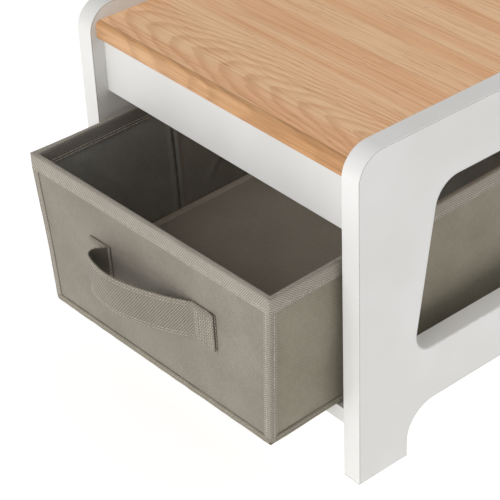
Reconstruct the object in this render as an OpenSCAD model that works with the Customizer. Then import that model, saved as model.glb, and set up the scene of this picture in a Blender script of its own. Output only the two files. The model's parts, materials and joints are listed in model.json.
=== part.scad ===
// Low entryway bench: two board side panels, a wood-look seat, two rails, a shelf
// and one fabric drawer that slides on the shelf.
// X runs across the bench, Y from the front to the back, Z up. The origin is on the
// floor, in the middle of the whole object's box with the drawer pulled out.

/* [Overall] */
// Width over the side panels
bench_w = 344; // [300:1:700]
// Depth of the side panels, front to back
bench_d = 310; // [280:1:420]
// Height of the side panels
bench_h = 308; // [290:1:450]

/* [Boards] */
// Thickness of a side panel
panel_t = 18; // [15:0.5:25]
// Thickness of the seat board
seat_t = 15; // [12:0.5:22]
// Thickness of the shelf under the drawer
shelf_t = 15; // [12:0.5:22]
// Thickness of the front and rear rails
rail_t = 15; // [12:0.5:18]
// Thickness of the white edge banding on the side panels
band_t = 0.8; // [0.4:0.1:2]
// Width of the rounded strip along the seat's front and rear edges
seat_edge_w = 5; // [4:0.5:10]
// Rounding of the seat's upper front and rear edges
seat_edge_r = 4; // [1:0.5:4]

/* [Side panel shape] */
// Rounding of the panel's two upper corners
corner_r = 24; // [5:1:40]
// Width of each foot at the floor
foot_w = 53.5; // [35:0.5:70]
// Height of the arch between the feet
arch_h = 46; // [40:1:70]
// Rounding where a foot meets the arch
arch_r = 30; // [5:1:38]
// Height of the window's lower edge
window_z0 = 99.5; // [90:0.5:130]
// Board left above the window
window_top_rail = 55.5; // [45:0.5:80]
// Board left beside the window at its lower corners
window_side_low = 59; // [45:0.5:75]
// Board left beside the window at its upper corners
window_side_high = 83; // [60:0.5:95]
// Rounding of the window's lower corners
window_low_r = 17.5; // [4:0.5:30]
// Rounding of the window's upper corners
window_high_r = 24; // [4:0.5:30]

/* [Seat, rails and shelf] */
// How far the seat lies below the panel tops
seat_drop = 13; // [5:0.5:25]
// How far the seat and the shelf stand back from the panel edges
seat_setback = 6.5; // [2:0.5:12]
// How far the rails stand back from the panel edges
rail_setback = 13; // [8:0.5:20]
// Height of the rails under the seat
rail_h = 52.5; // [40:0.5:80]

/* [Joint fittings] */
// Diameter of the wooden dowels
dowel_d = 8; // [6:1:8]
// How deep a dowel or a bolt sits in the side panel
fitting_panel_depth = 10; // [6:0.5:12]
// How deep a dowel sits in the end of a board
dowel_board_depth = 20; // [12:1:30]
// Diameter of the cam bolt
bolt_d = 6; // [5:0.5:7]
// Diameter of the cam lock
cam_d = 15; // [12:0.5:15]
// Height of the cam lock
cam_h = 10.5; // [8:0.5:11]
// From the board's end to the cam lock's centre
cam_inset = 24; // [20:0.5:34]
// From the board's front or rear edge to the nearest bolt
bolt_edge = 38; // [30:1:60]
// From a bolt to the dowel beside it
bolt_to_dowel = 40; // [32:1:60]

/* [Drawer] */
// Gap between the drawer and each side panel
side_gap = 8; // [5:0.5:14]
// Gap between the drawer's rim and the rails
top_gap = 19.5; // [6:0.5:30]
// Gap behind the closed drawer
back_gap = 9; // [5:1:20]
// How far each side wall leans in from rim to bottom
side_taper = 8.3; // [0:0.1:12]
// How far the front and back walls lean in from rim to bottom
end_taper = 2.3; // [0:0.1:8]
// Thickness of the outer cloth and of the lining
cloth_t = 0.8; // [0.5:0.1:1.5]
// Thickness of the stiffening boards inside the walls
stiffener_t = 2; // [1:0.1:3.5]
// Thickness of the binding tape
tape_t = 0.6; // [0.4:0.1:1.2]
// Height of the binding round the rim
rim_binding_h = 15; // [8:0.5:25]
// Height of the binding round the bottom
foot_binding_h = 8; // [5:0.5:15]
// Width of the bottom binding's turn under the drawer
foot_binding_turn = 10; // [5:0.5:20]
// Width of each leg of a corner seam's tape
corner_tape_w = 7; // [4:0.5:15]
// Gap between the two stiffening boards where a side wall folds
fold_gap = 2; // [1:0.5:6]
// How far the drawer stands out of the bench
pulled_out = 73; // [0:1:150]
// How askew the drawer stands, as a share of the turn that its side gaps allow
skew_share = 0.58; // [0:0.01:0.8]

/* [Drawer base insert] */
// Thickness of the insert's board
insert_board_t = 3; // [2:0.1:5]
// Height of the insert's top above the drawer's underside
insert_top_h = 31; // [10:0.5:40]
// Gap between the insert and the lining
insert_gap = 0.4; // [0.2:0.1:2]

/* [Handle] */
// Height of the strap
strap_h = 36; // [20:1:45]
// Thickness of the strap
strap_t = 2; // [1:0.1:3.5]
// Length from the outer end of one sewn patch to that of the other
handle_l = 155; // [120:1:200]
// Length of each sewn patch
patch_l = 26; // [15:0.5:35]
// How far the strap bows out
strap_bow = 25; // [18:0.5:40]
// Height of the strap's lower edge above the drawer's underside
strap_z0 = 63; // [20:1:90]
// How far the handle sits right of the drawer's middle
handle_shift = 3.6; // [-20:0.1:20]
// Depth that stays on the drawer at the ends of the bow
root_depth = 2.6; // [2.2:0.1:6]
// Gap between those ends and the swinging strap, where the cloth bends
root_gap = 5.4; // [2:0.1:8]

/* [Hidden] */
$fn = 48;
eps = 0.01;
arc_steps = 16;
white = "whitesmoke";
oak = "burlywood";
taupe = "#8f887d";
lining_colour = "#6f695f";
card = "#9a8a70";
zinc = "silver";

// Bay between the side panels
inner_w = bench_w - 2 * panel_t;
shelf_z0 = arch_h;
shelf_z1 = shelf_z0 + shelf_t;
seat_z1 = bench_h - seat_drop;
seat_z0 = seat_z1 - seat_t;
rail_z0 = seat_z0 - rail_h;

// Drawer, in its own frame: X across from its middle, Y back from its rim's front
// edge, Z up from its underside
drawer_w = inner_w - 2 * side_gap;
drawer_d = bench_d - rail_setback - back_gap;
drawer_h = rail_z0 - top_gap - shelf_z1;
drawer_skew = asin(skew_share * 2 * side_gap / drawer_d);
cloth_in = tape_t;
stiffener_in = cloth_in + cloth_t;
lining_in = stiffener_in + stiffener_t;
inner_face = lining_in + cloth_t;
wall_in = inner_face + tape_t;
wall_z0 = tape_t + cloth_t;
wall_z1 = drawer_h - tape_t;

// Half width of the drawer's outer face, and the place of its front face, at a height
function half_w(z) = drawer_w / 2 - side_taper * (1 - z / drawer_h);
function front_y(z) = end_taper * (1 - z / drawer_h);

// Handle, in the drawer's frame
strap_z_mid = strap_z0 + strap_h / 2;
handle_y = front_y(strap_z0);
patch_x = handle_l / 2 - patch_l;
bow_start = [-patch_x, 0];
bow_peak = [-patch_x + 15, strap_bow - strap_t];
bow_end = [patch_x, 0];
bow_near = [bow_start, bow_start + [-5, 9], bow_peak + [-33, -4], bow_peak];
bow_far = [bow_peak, bow_peak + [23, 4.5], bow_peak + [54, -6.5], bow_end];
function bezier(c, t) =
    pow(1 - t, 3) * c[0] + 3 * t * pow(1 - t, 2) * c[1]
    + 3 * t * t * (1 - t) * c[2] + pow(t, 3) * c[3];
bow_line = concat(
    [for (i = [0 : arc_steps - 1]) bezier(bow_near, i / arc_steps)],
    [for (i = [0 : arc_steps]) bezier(bow_far, i / arc_steps)]
);
function unit(v) = v / norm(v);
function tangent(p, i) = unit(p[min(i + 1, len(p) - 1)] - p[max(i - 1, 0)]);
// The line moved sideways by d, and the strap's outline between its two faces
function beside(p, d) =
    [for (i = [0 : len(p) - 1]) p[i] + d * [-tangent(p, i)[1], tangent(p, i)[0]]];
bow_outline = concat(bow_line, [for (i = [len(bow_line) - 1 : -1 : 0]) beside(bow_line, strap_t)[i]]);

// Place of the drawer in the bench
drawer_mid_y = -pulled_out + cos(drawer_skew) * drawer_d / 2;
function bench_y(p) =
    drawer_mid_y + sin(drawer_skew) * p[0] + cos(drawer_skew) * (p[1] - drawer_d / 2);
strap_front_y = min([for (p = bow_outline) bench_y([handle_shift + p[0], handle_y - p[1]])]);
origin_y = (min(strap_front_y, 0) + bench_d) / 2;

// Window and outline of a side panel as [y, z] corners and their roundings
window_z1 = bench_h - window_top_rail;
outline = [
    [0, 0], [foot_w, 0], [foot_w, arch_h], [bench_d - foot_w, arch_h],
    [bench_d - foot_w, 0], [bench_d, 0], [bench_d, bench_h], [0, bench_h]
];
outline_r = [0, 0, arch_r, arch_r, 0, 0, corner_r, corner_r];
window = [
    [window_side_low, window_z0], [bench_d - window_side_low, window_z0],
    [bench_d - window_side_high, window_z1], [window_side_high, window_z1]
];
window_r = [window_low_r, window_low_r, window_high_r, window_high_r];

function turn(a, b) = a[0] * b[1] - a[1] * b[0];
function before(p, i) = p[(i + len(p) - 1) % len(p)];
function after(p, i) = p[(i + 1) % len(p)];
function left_of(v) = [-v[1], v[0]] / norm(v);

// Corners moved inwards by t along both of their sides
function inset_corners(p, t) = [
    for (i = [0 : len(p) - 1])
        let (n = left_of(p[i] - before(p, i)), m = left_of(after(p, i) - p[i]))
            p[i] + t * (n + m) / (1 + n * m)
];
// Roundings that stay concentric with the ones of the corners that were moved
function inset_radii(p, r, t) = [
    for (i = [0 : len(p) - 1])
        r[i] == 0 ? 0 : r[i] - t * sign(turn(p[i] - before(p, i), after(p, i) - p[i]))
];
function arc(c, r, a, sweep) =
    [for (k = [0 : arc_steps]) c + r * [cos(a + sweep * k / arc_steps), sin(a + sweep * k / arc_steps)]];
function corner_arc(p, u, v, r) =
    let (
        half = acos(u * v) / 2,
        c = p + unit(u + v) * r / sin(half),
        s = p + u * r / tan(half) - c,
        e = p + v * r / tan(half) - c
    )
        arc(c, r, atan2(s[1], s[0]), atan2(turn(s, e), s * e));
function rounded(p, r) = [
    for (i = [0 : len(p) - 1])
        each r[i] == 0 ? [p[i]]
            : corner_arc(p[i], unit(before(p, i) - p[i]), unit(after(p, i) - p[i]), r[i])
];

// Places of the bolts and dowels along the boards and up the rails
bolt_ys = [bolt_edge, bench_d - bolt_edge];
dowel_ys = [bolt_edge + bolt_to_dowel, bench_d - bolt_edge - bolt_to_dowel];
board_mid_zs = [(seat_z0 + seat_z1) / 2, (shelf_z0 + shelf_z1) / 2];
rail_mid_ys = [rail_setback + rail_t / 2, bench_d - rail_setback - rail_t / 2];
rail_bolt_z = rail_z0 + rail_h * 0.3;
rail_dowel_z = rail_z0 + rail_h * 0.75;
bolt_places = concat(
    [for (y = bolt_ys, z = board_mid_zs) [y, z]],
    [for (y = rail_mid_ys) [y, rail_bolt_z]]
);
dowel_places = concat(
    [for (y = dowel_ys, z = board_mid_zs) [y, z]],
    [for (y = rail_mid_ys) [y, rail_dowel_z]]
);
bolt_clearance = 0.5;
cam_reach = 3;

module in_bench() {
    translate([0, -origin_y, 0]) children();
}

module in_drawer() {
    in_bench()
        translate([0, drawer_mid_y, shelf_z1])
            rotate([0, 0, drawer_skew])
                translate([0, -drawer_d / 2, 0]) children();
}

// A flat [y, z] shape given a thickness along X from x0
module along_x(x0, length) {
    translate([x0, 0, 0]) rotate([90, 0, 90]) linear_extrude(length) children();
}

// A rod along X, centred on [y, z], from x0
module rod_x(x0, length, d, place) {
    translate([x0, place[0], place[1]]) rotate([0, 90, 0]) cylinder(d = d, h = length);
}

// Side panels ---------------------------------------------------------------

module panel_shape() {
    polygon(rounded(outline, outline_r));
}

module outer_band_shape() {
    difference() {
        panel_shape();
        polygon(rounded(inset_corners(outline, band_t), inset_radii(outline, outline_r, band_t)));
        square([bench_d, band_t]);
    }
}

module window_shape(grow) {
    polygon(rounded(inset_corners(window, -grow), inset_radii(window, window_r, -grow)));
}

// side is -1 for the left and 1 for the right
function panel_x0(side) = side < 0 ? -bench_w / 2 : bench_w / 2 - panel_t;

module side_panel(side) {
    color(white) in_bench() difference() {
        along_x(panel_x0(side), panel_t) difference() {
            panel_shape();
            outer_band_shape();
            window_shape(band_t);
        }
        for (p = bolt_places)
            rod_x(side * inner_w / 2 - fitting_panel_depth, 2 * fitting_panel_depth, bolt_d, p);
        for (p = dowel_places)
            rod_x(side * inner_w / 2 - fitting_panel_depth, 2 * fitting_panel_depth, dowel_d, p);
    }
}

module side_panel_left() side_panel(-1);
module side_panel_right() side_panel(1);

module edge_band(side) {
    color(white) in_bench() along_x(panel_x0(side), panel_t) outer_band_shape();
}

module edge_band_left() edge_band(-1);
module edge_band_right() edge_band(1);

module window_band(side) {
    color(white) in_bench() along_x(panel_x0(side), panel_t) difference() {
        window_shape(band_t);
        window_shape(0);
    }
}

module window_band_left() window_band(-1);
module window_band_right() window_band(1);

// Boards between the panels -------------------------------------------------

// Holes in both ends of a board for its bolts and dowels
module end_holes(bolts, dowels) {
    for (side = [-1, 1]) {
        for (p = bolts)
            rod_x(side * (inner_w / 2 - cam_inset / 2) - cam_inset / 2 - eps,
                  cam_inset + 2 * eps, bolt_d + 2 * bolt_clearance, p);
        for (p = dowels)
            rod_x(side * (inner_w / 2 - dowel_board_depth / 2) - dowel_board_depth / 2 - eps,
                  dowel_board_depth + 2 * eps, dowel_d, p);
    }
}

// Pockets for the cam locks, cut up from a board's underside at z
module cam_pockets(z) {
    for (side = [-1, 1], y = bolt_ys)
        translate([side * (inner_w / 2 - cam_inset), y, z - eps]) cylinder(d = cam_d, h = cam_h + eps);
}

module flat_board(y0, y1, z0, z1, mid_z) {
    in_bench() difference() {
        translate([-inner_w / 2, y0, z0]) cube([inner_w, y1 - y0, z1 - z0]);
        end_holes([for (y = bolt_ys) [y, mid_z]], [for (y = dowel_ys) [y, mid_z]]);
        cam_pockets(z0);
    }
}

module seat_board() {
    color(oak) flat_board(seat_setback + seat_edge_w, bench_d - seat_setback - seat_edge_w,
                          seat_z0, seat_z1, board_mid_zs[0]);
}

// The rounded strip on the seat's edge, as a [y, z] shape with its outer face at y = 0
module seat_edge_shape() {
    polygon(rounded([[0, seat_z0], [seat_edge_w, seat_z0], [seat_edge_w, seat_z1], [0, seat_z1]],
                    [0, 0, 0, seat_edge_r]));
}

module seat_edge_front() {
    color(oak) in_bench() translate([0, seat_setback, 0])
        along_x(-inner_w / 2, inner_w) seat_edge_shape();
}

module seat_edge_rear() {
    color(oak) in_bench() translate([0, bench_d - seat_setback, 0]) mirror([0, 1, 0])
        along_x(-inner_w / 2, inner_w) seat_edge_shape();
}

module bottom_shelf() {
    color(white) flat_board(seat_setback, bench_d - seat_setback, shelf_z0, shelf_z1, board_mid_zs[1]);
}

// A rail in the front half; its cam locks are let into its inner face
module rail() {
    difference() {
        translate([-inner_w / 2, rail_setback, rail_z0]) cube([inner_w, rail_t, rail_h]);
        end_holes([[rail_mid_ys[0], rail_bolt_z]], [[rail_mid_ys[0], rail_dowel_z]]);
        for (side = [-1, 1])
            translate([side * (inner_w / 2 - cam_inset), rail_setback + rail_t + eps, rail_bolt_z])
                rotate([90, 0, 0]) cylinder(d = cam_d, h = cam_h + eps);
    }
}

// What is given for the front, mirrored to the rear
module at_rear() {
    translate([0, bench_d, 0]) mirror([0, 1, 0]) children();
}

module front_rail() {
    color(white) in_bench() rail();
}

module rear_rail() {
    color(white) in_bench() at_rear() rail();
}

// Fittings ------------------------------------------------------------------

// A cam lock standing on z = 0 with its screwdriver cross below; the bolt comes from +X
module cam_lock(mid) {
    cross_l = cam_d * 0.6;
    cross_w = 1.6;
    cross_depth = 2;
    difference() {
        cylinder(d = cam_d, h = cam_h);
        for (a = [0, 90])
            rotate([0, 0, a]) translate([-cross_l / 2, -cross_w / 2, -eps])
                cube([cross_l, cross_w, cross_depth]);
        translate([-cam_reach - bolt_clearance, 0, mid]) rotate([0, 90, 0])
            cylinder(d = bolt_d + 2 * bolt_clearance, h = cam_d);
    }
}

// A pair of cam locks at the two ends of a board, turned to their bolts
module cam_pair(mid) {
    for (a = [0, 180])
        rotate([0, 0, a]) translate([inner_w / 2 - cam_inset, 0, 0]) cam_lock(mid);
}

module board_cams(z0, mid_z) {
    color(zinc) in_bench() for (y = bolt_ys) translate([0, y, z0]) cam_pair(mid_z - z0);
}

module seat_cam_locks() board_cams(seat_z0, board_mid_zs[0]);
module shelf_cam_locks() board_cams(shelf_z0, board_mid_zs[1]);

module rail_cams() {
    translate([0, rail_setback + rail_t, rail_bolt_z]) rotate([90, 0, 0]) cam_pair(rail_t / 2);
}

module rail_cam_locks() {
    color(zinc) in_bench() {
        rail_cams();
        at_rear() rail_cams();
    }
}

module cam_bolts(side) {
    length = fitting_panel_depth + cam_inset + cam_reach;
    x0 = side < 0 ? -inner_w / 2 - fitting_panel_depth : inner_w / 2 + fitting_panel_depth - length;
    color(zinc) in_bench() for (p = bolt_places) rod_x(x0, length, bolt_d, p);
}

module cam_bolts_left() cam_bolts(-1);
module cam_bolts_right() cam_bolts(1);

module dowels(side) {
    length = fitting_panel_depth + dowel_board_depth;
    x0 = side < 0 ? -inner_w / 2 - fitting_panel_depth : inner_w / 2 + fitting_panel_depth - length;
    color(oak) in_bench() for (p = dowel_places) rod_x(x0, length, dowel_d, p);
}

module dowels_left() dowels(-1);
module dowels_right() dowels(1);

// Drawer --------------------------------------------------------------------

// A block between heights z0 and z1 whose faces lean with the drawer's walls. x and y
// give [low, high] at z0 and at z1.
module leaning_block(x_at_z0, x_at_z1, y_at_z0, y_at_z1, z0, z1) {
    intersection() {
        translate([0, drawer_d * 2, 0]) rotate([90, 0, 0]) linear_extrude(drawer_d * 4)
            polygon([[x_at_z0[0], z0], [x_at_z0[1], z0], [x_at_z1[1], z1], [x_at_z1[0], z1]]);
        along_x(-drawer_w, 2 * drawer_w)
            polygon([[y_at_z0[0], z0], [y_at_z0[1], z0], [y_at_z1[1], z1], [y_at_z1[0], z1]]);
    }
}

function span_x(z, d) = [-half_w(z) + d, half_w(z) - d];
function span_y(z, d) = [front_y(z) + d, drawer_d - front_y(z) - d];

// The drawer's whole outer form, drawn in by d
module form(d, z0, z1) {
    leaning_block(span_x(z0, d), span_x(z1, d), span_y(z0, d), span_y(z1, d), z0, z1);
}

// The layer of the front wall between depths d0 and d1
module front_layer(d0, d1) {
    leaning_block(span_x(wall_z0, d0), span_x(wall_z1, d0),
                  [front_y(wall_z0) + d0, front_y(wall_z0) + d1],
                  [front_y(wall_z1) + d0, front_y(wall_z1) + d1], wall_z0, wall_z1);
}

// The layer of the left wall between depths d0 and d1, between y0 and y1
module left_layer(d0, d1, y_at_z0, y_at_z1) {
    leaning_block([-half_w(wall_z0) + d0, -half_w(wall_z0) + d1],
                  [-half_w(wall_z1) + d0, -half_w(wall_z1) + d1],
                  y_at_z0, y_at_z1, wall_z0, wall_z1);
}

module left_wall_layer(d0, d1) {
    left_layer(d0, d1, span_y(wall_z0, d1), span_y(wall_z1, d1));
}

module to_back() {
    translate([0, drawer_d, 0]) mirror([0, 1, 0]) children();
}

module to_right() {
    mirror([1, 0, 0]) children();
}

module drawer_cloth_front() color(taupe) in_drawer() front_layer(cloth_in, stiffener_in);
module drawer_cloth_back() color(taupe) in_drawer() to_back() front_layer(cloth_in, stiffener_in);
module drawer_cloth_left() color(taupe) in_drawer() left_wall_layer(cloth_in, stiffener_in);
module drawer_cloth_right() color(taupe) in_drawer() to_right() left_wall_layer(cloth_in, stiffener_in);

module stiffener_front() color(card) in_drawer() front_layer(stiffener_in, lining_in);
module stiffener_back() color(card) in_drawer() to_back() front_layer(stiffener_in, lining_in);

// Front half of the left wall's board, which ends at the fold
module half_stiffener() {
    fold_y = (drawer_d - fold_gap) / 2;
    left_layer(stiffener_in, lining_in,
               [span_y(wall_z0, lining_in)[0], fold_y], [span_y(wall_z1, lining_in)[0], fold_y]);
}

module stiffener_left_front() color(card) in_drawer() half_stiffener();
module stiffener_left_rear() color(card) in_drawer() to_back() half_stiffener();
module stiffener_right_front() color(card) in_drawer() to_right() half_stiffener();
module stiffener_right_rear() color(card) in_drawer() to_right() to_back() half_stiffener();

module lining_front() color(lining_colour) in_drawer() front_layer(lining_in, inner_face);
module lining_back() color(lining_colour) in_drawer() to_back() front_layer(lining_in, inner_face);
module lining_left() color(lining_colour) in_drawer() left_wall_layer(lining_in, inner_face);
module lining_right() color(lining_colour) in_drawer() to_right() left_wall_layer(lining_in, inner_face);

module bottom_cloth() color(taupe) in_drawer() form(cloth_in, tape_t, wall_z0);

module rim_binding() {
    z0 = drawer_h - rim_binding_h;
    color(taupe) in_drawer() difference() {
        form(0, z0, drawer_h);
        form(wall_in, z0 - 1, drawer_h + 1);
        difference() {
            form(cloth_in, z0 - 1, wall_z1);
            form(inner_face, z0 - 2, drawer_h + 2);
        }
    }
}

module bottom_binding() {
    color(taupe) in_drawer() difference() {
        form(0, 0, foot_binding_h);
        form(cloth_in, tape_t, foot_binding_h + 1);
        form(foot_binding_turn, -1, tape_t + eps);
    }
}

// The front left corner's tape, folded round the corner between the two bindings
module corner_seam() {
    z0 = foot_binding_h;
    z1 = drawer_h - rim_binding_h;
    color(taupe) difference() {
        leaning_block([-half_w(z0), -half_w(z0) + corner_tape_w],
                      [-half_w(z1), -half_w(z1) + corner_tape_w],
                      [front_y(z0), front_y(z0) + corner_tape_w],
                      [front_y(z1), front_y(z1) + corner_tape_w], z0, z1);
        form(cloth_in, z0 - 1, z1 + 1);
    }
}

module corner_seam_front_left() in_drawer() corner_seam();
module corner_seam_front_right() in_drawer() to_right() corner_seam();
module corner_seam_rear_left() in_drawer() to_back() corner_seam();
module corner_seam_rear_right() in_drawer() to_right() to_back() corner_seam();

// Handle --------------------------------------------------------------------

module at_handle() {
    in_drawer() translate([handle_shift, handle_y, strap_z0]) children();
}

// The bow seen from above, with its depth given by [nearest, farthest] from the drawer
module bow(nearest, farthest) {
    linear_extrude(strap_h) mirror([0, 1]) intersection() {
        polygon(bow_outline);
        translate([-handle_l, nearest]) square([2 * handle_l, farthest - nearest]);
    }
}

// The sewn patch at x0 and the end of the bow that stays beside it
module patch(x0) {
    translate([x0, -strap_t, 0]) cube([patch_l, strap_t, strap_h]);
}

module left_half() {
    intersection() {
        children();
        translate([-handle_l, -handle_l, 0]) cube([handle_l, 2 * handle_l, strap_h]);
    }
}

module handle_patch_left() {
    color(taupe) at_handle() union() {
        patch(-handle_l / 2);
        left_half() bow(0, root_depth);
    }
}

module handle_patch_right() {
    color(taupe) at_handle() union() {
        patch(patch_x);
        difference() {
            bow(0, root_depth);
            translate([-handle_l, -handle_l, -1]) cube([handle_l, 2 * handle_l, strap_h + 2]);
        }
    }
}

module handle_strap() {
    color(taupe) at_handle() bow(root_depth + root_gap, 2 * strap_bow);
}

// Base insert ---------------------------------------------------------------

insert_t = insert_board_t + 2 * cloth_t;
insert_z0 = insert_top_h - insert_t;
insert_half_w = half_w(insert_z0) - inner_face - insert_gap;
insert_y0 = front_y(insert_z0) + inner_face + insert_gap;

module insert_block(in) {
    translate([-insert_half_w + in, insert_y0 + in, insert_z0 + in])
        cube([2 * (insert_half_w - in), drawer_d - 2 * (insert_y0 + in), insert_t - 2 * in]);
}

module base_board() color(card) in_drawer() insert_block(cloth_t);

module base_cover() {
    color(lining_colour) in_drawer() difference() {
        insert_block(0);
        insert_block(cloth_t);
    }
}

side_panel_left();
side_panel_right();
edge_band_left();
edge_band_right();
window_band_left();
window_band_right();
seat_board();
seat_edge_front();
seat_edge_rear();
front_rail();
rear_rail();
bottom_shelf();
seat_cam_locks();
shelf_cam_locks();
rail_cam_locks();
cam_bolts_left();
cam_bolts_right();
dowels_left();
dowels_right();
drawer_cloth_front();
drawer_cloth_back();
drawer_cloth_left();
drawer_cloth_right();
stiffener_front();
stiffener_back();
stiffener_left_front();
stiffener_left_rear();
stiffener_right_front();
stiffener_right_rear();
lining_front();
lining_back();
lining_left();
lining_right();
bottom_cloth();
rim_binding();
bottom_binding();
corner_seam_front_left();
corner_seam_front_right();
corner_seam_rear_left();
corner_seam_rear_right();
handle_patch_left();
handle_patch_right();
handle_strap();
base_board();
base_cover();
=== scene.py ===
"""Looks of a low entryway bench: white board ends, an oak seat and one fabric drawer."""

from __future__ import annotations

import logging
import math
from collections.abc import Callable, Iterator, Sequence
from contextlib import contextmanager
from dataclasses import dataclass
from enum import Enum, IntEnum

import bmesh
import bpy
import numpy as np
from mathutils import Matrix, Vector, noise
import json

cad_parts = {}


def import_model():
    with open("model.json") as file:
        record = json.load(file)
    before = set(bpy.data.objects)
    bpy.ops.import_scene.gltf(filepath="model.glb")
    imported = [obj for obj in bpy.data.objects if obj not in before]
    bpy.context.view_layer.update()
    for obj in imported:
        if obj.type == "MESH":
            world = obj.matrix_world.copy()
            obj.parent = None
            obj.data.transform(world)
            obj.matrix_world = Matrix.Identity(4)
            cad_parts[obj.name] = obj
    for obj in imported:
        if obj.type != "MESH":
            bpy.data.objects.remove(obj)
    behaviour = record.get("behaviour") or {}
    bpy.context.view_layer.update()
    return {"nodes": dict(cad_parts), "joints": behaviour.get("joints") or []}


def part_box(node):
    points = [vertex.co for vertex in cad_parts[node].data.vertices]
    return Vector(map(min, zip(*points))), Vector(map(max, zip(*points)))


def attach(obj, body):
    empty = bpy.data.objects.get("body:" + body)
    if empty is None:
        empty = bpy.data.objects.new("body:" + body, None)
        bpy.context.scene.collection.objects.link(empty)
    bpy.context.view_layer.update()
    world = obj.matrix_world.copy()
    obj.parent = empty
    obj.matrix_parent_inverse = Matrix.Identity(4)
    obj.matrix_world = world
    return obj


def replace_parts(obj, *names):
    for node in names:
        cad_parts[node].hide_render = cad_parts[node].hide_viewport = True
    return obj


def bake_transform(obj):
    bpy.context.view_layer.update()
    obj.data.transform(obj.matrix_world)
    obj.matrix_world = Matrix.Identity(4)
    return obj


MM = 0.001
# Painted shade: the colour that the cloth is darkened towards in its emboss hollows.
EMBOSS_SHADE = (0.32, 0.31, 0.29, 1.0)
# Painted shade: the colour that a tape's inner leg is darkened towards, for the shade inside the drawer.
INNER_LEG_SHADE = (0.05, 0.05, 0.045, 1.0)
UV_NAME = "cloth_metres"
LOG = logging.getLogger("bench")

Place = Callable[[float, float], Vector]
Measure = Callable[[float, float], tuple[float, float]]
Tone = tuple[float, float, float, float]


class Body(Enum):
    """The CAD bodies that pieces ride on."""

    FRAME = "frame"
    DRAWER = "drawer"
    HANDLE = "handle"
    INSERT = "insert"


class Wall(IntEnum):
    """The drawer's walls, anticlockwise from above, starting at the front."""

    FRONT = 0
    RIGHT = 1
    BACK = 2
    LEFT = 3


class Slot(Enum):
    """The record's material slots."""

    BOARD = "white_board"
    EDGING = "white_edging"
    SEAT = "oak_seat"
    SEAT_EDGE = "oak_edging"
    ZINC = "zinc_fittings"
    DOWEL = "beech_dowel"
    CLOTH = "drawer_cloth"
    LINING = "lining_cloth"
    TAPE = "binding_tape"
    STRAP = "strap_cloth"
    CARD = "stiffener_board"


def tone(code: str) -> Tone:
    """Turns a display colour into the linear one that shaders use.

    Args:
        code: Six hexadecimal digits, red, green and blue.

    Returns:
        The linear colour with full alpha.
    """
    parts = [int(code[i : i + 2], 16) / 255 for i in (0, 2, 4)]
    linear = [c / 12.92 if c <= 0.04045 else ((c + 0.055) / 1.055) ** 2.4 for c in parts]
    return linear[0], linear[1], linear[2], 1.0


def smooth(x: float, low: float, high: float) -> float:
    """Rises smoothly from 0 at low to 1 at high.

    Args:
        x: Where to read the curve.
        low: Where it leaves 0.
        high: Where it reaches 1.

    Returns:
        A share from 0 to 1.
    """
    t = min(max((x - low) / (high - low), 0.0), 1.0)
    return t * t * (3 - 2 * t)


def inside(x: float, low: float, high: float, fade: float) -> float:
    """Is 1 well between low and high and falls to 0 at both.

    Args:
        x: Where to read the curve.
        low: Where the span starts.
        high: Where it ends.
        fade: Length over which the curve rises and falls.

    Returns:
        A share from 0 to 1.
    """
    return smooth(x, low, low + fade) * (1 - smooth(x, high - fade, high))


# Node graphs ---------------------------------------------------------------


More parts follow.
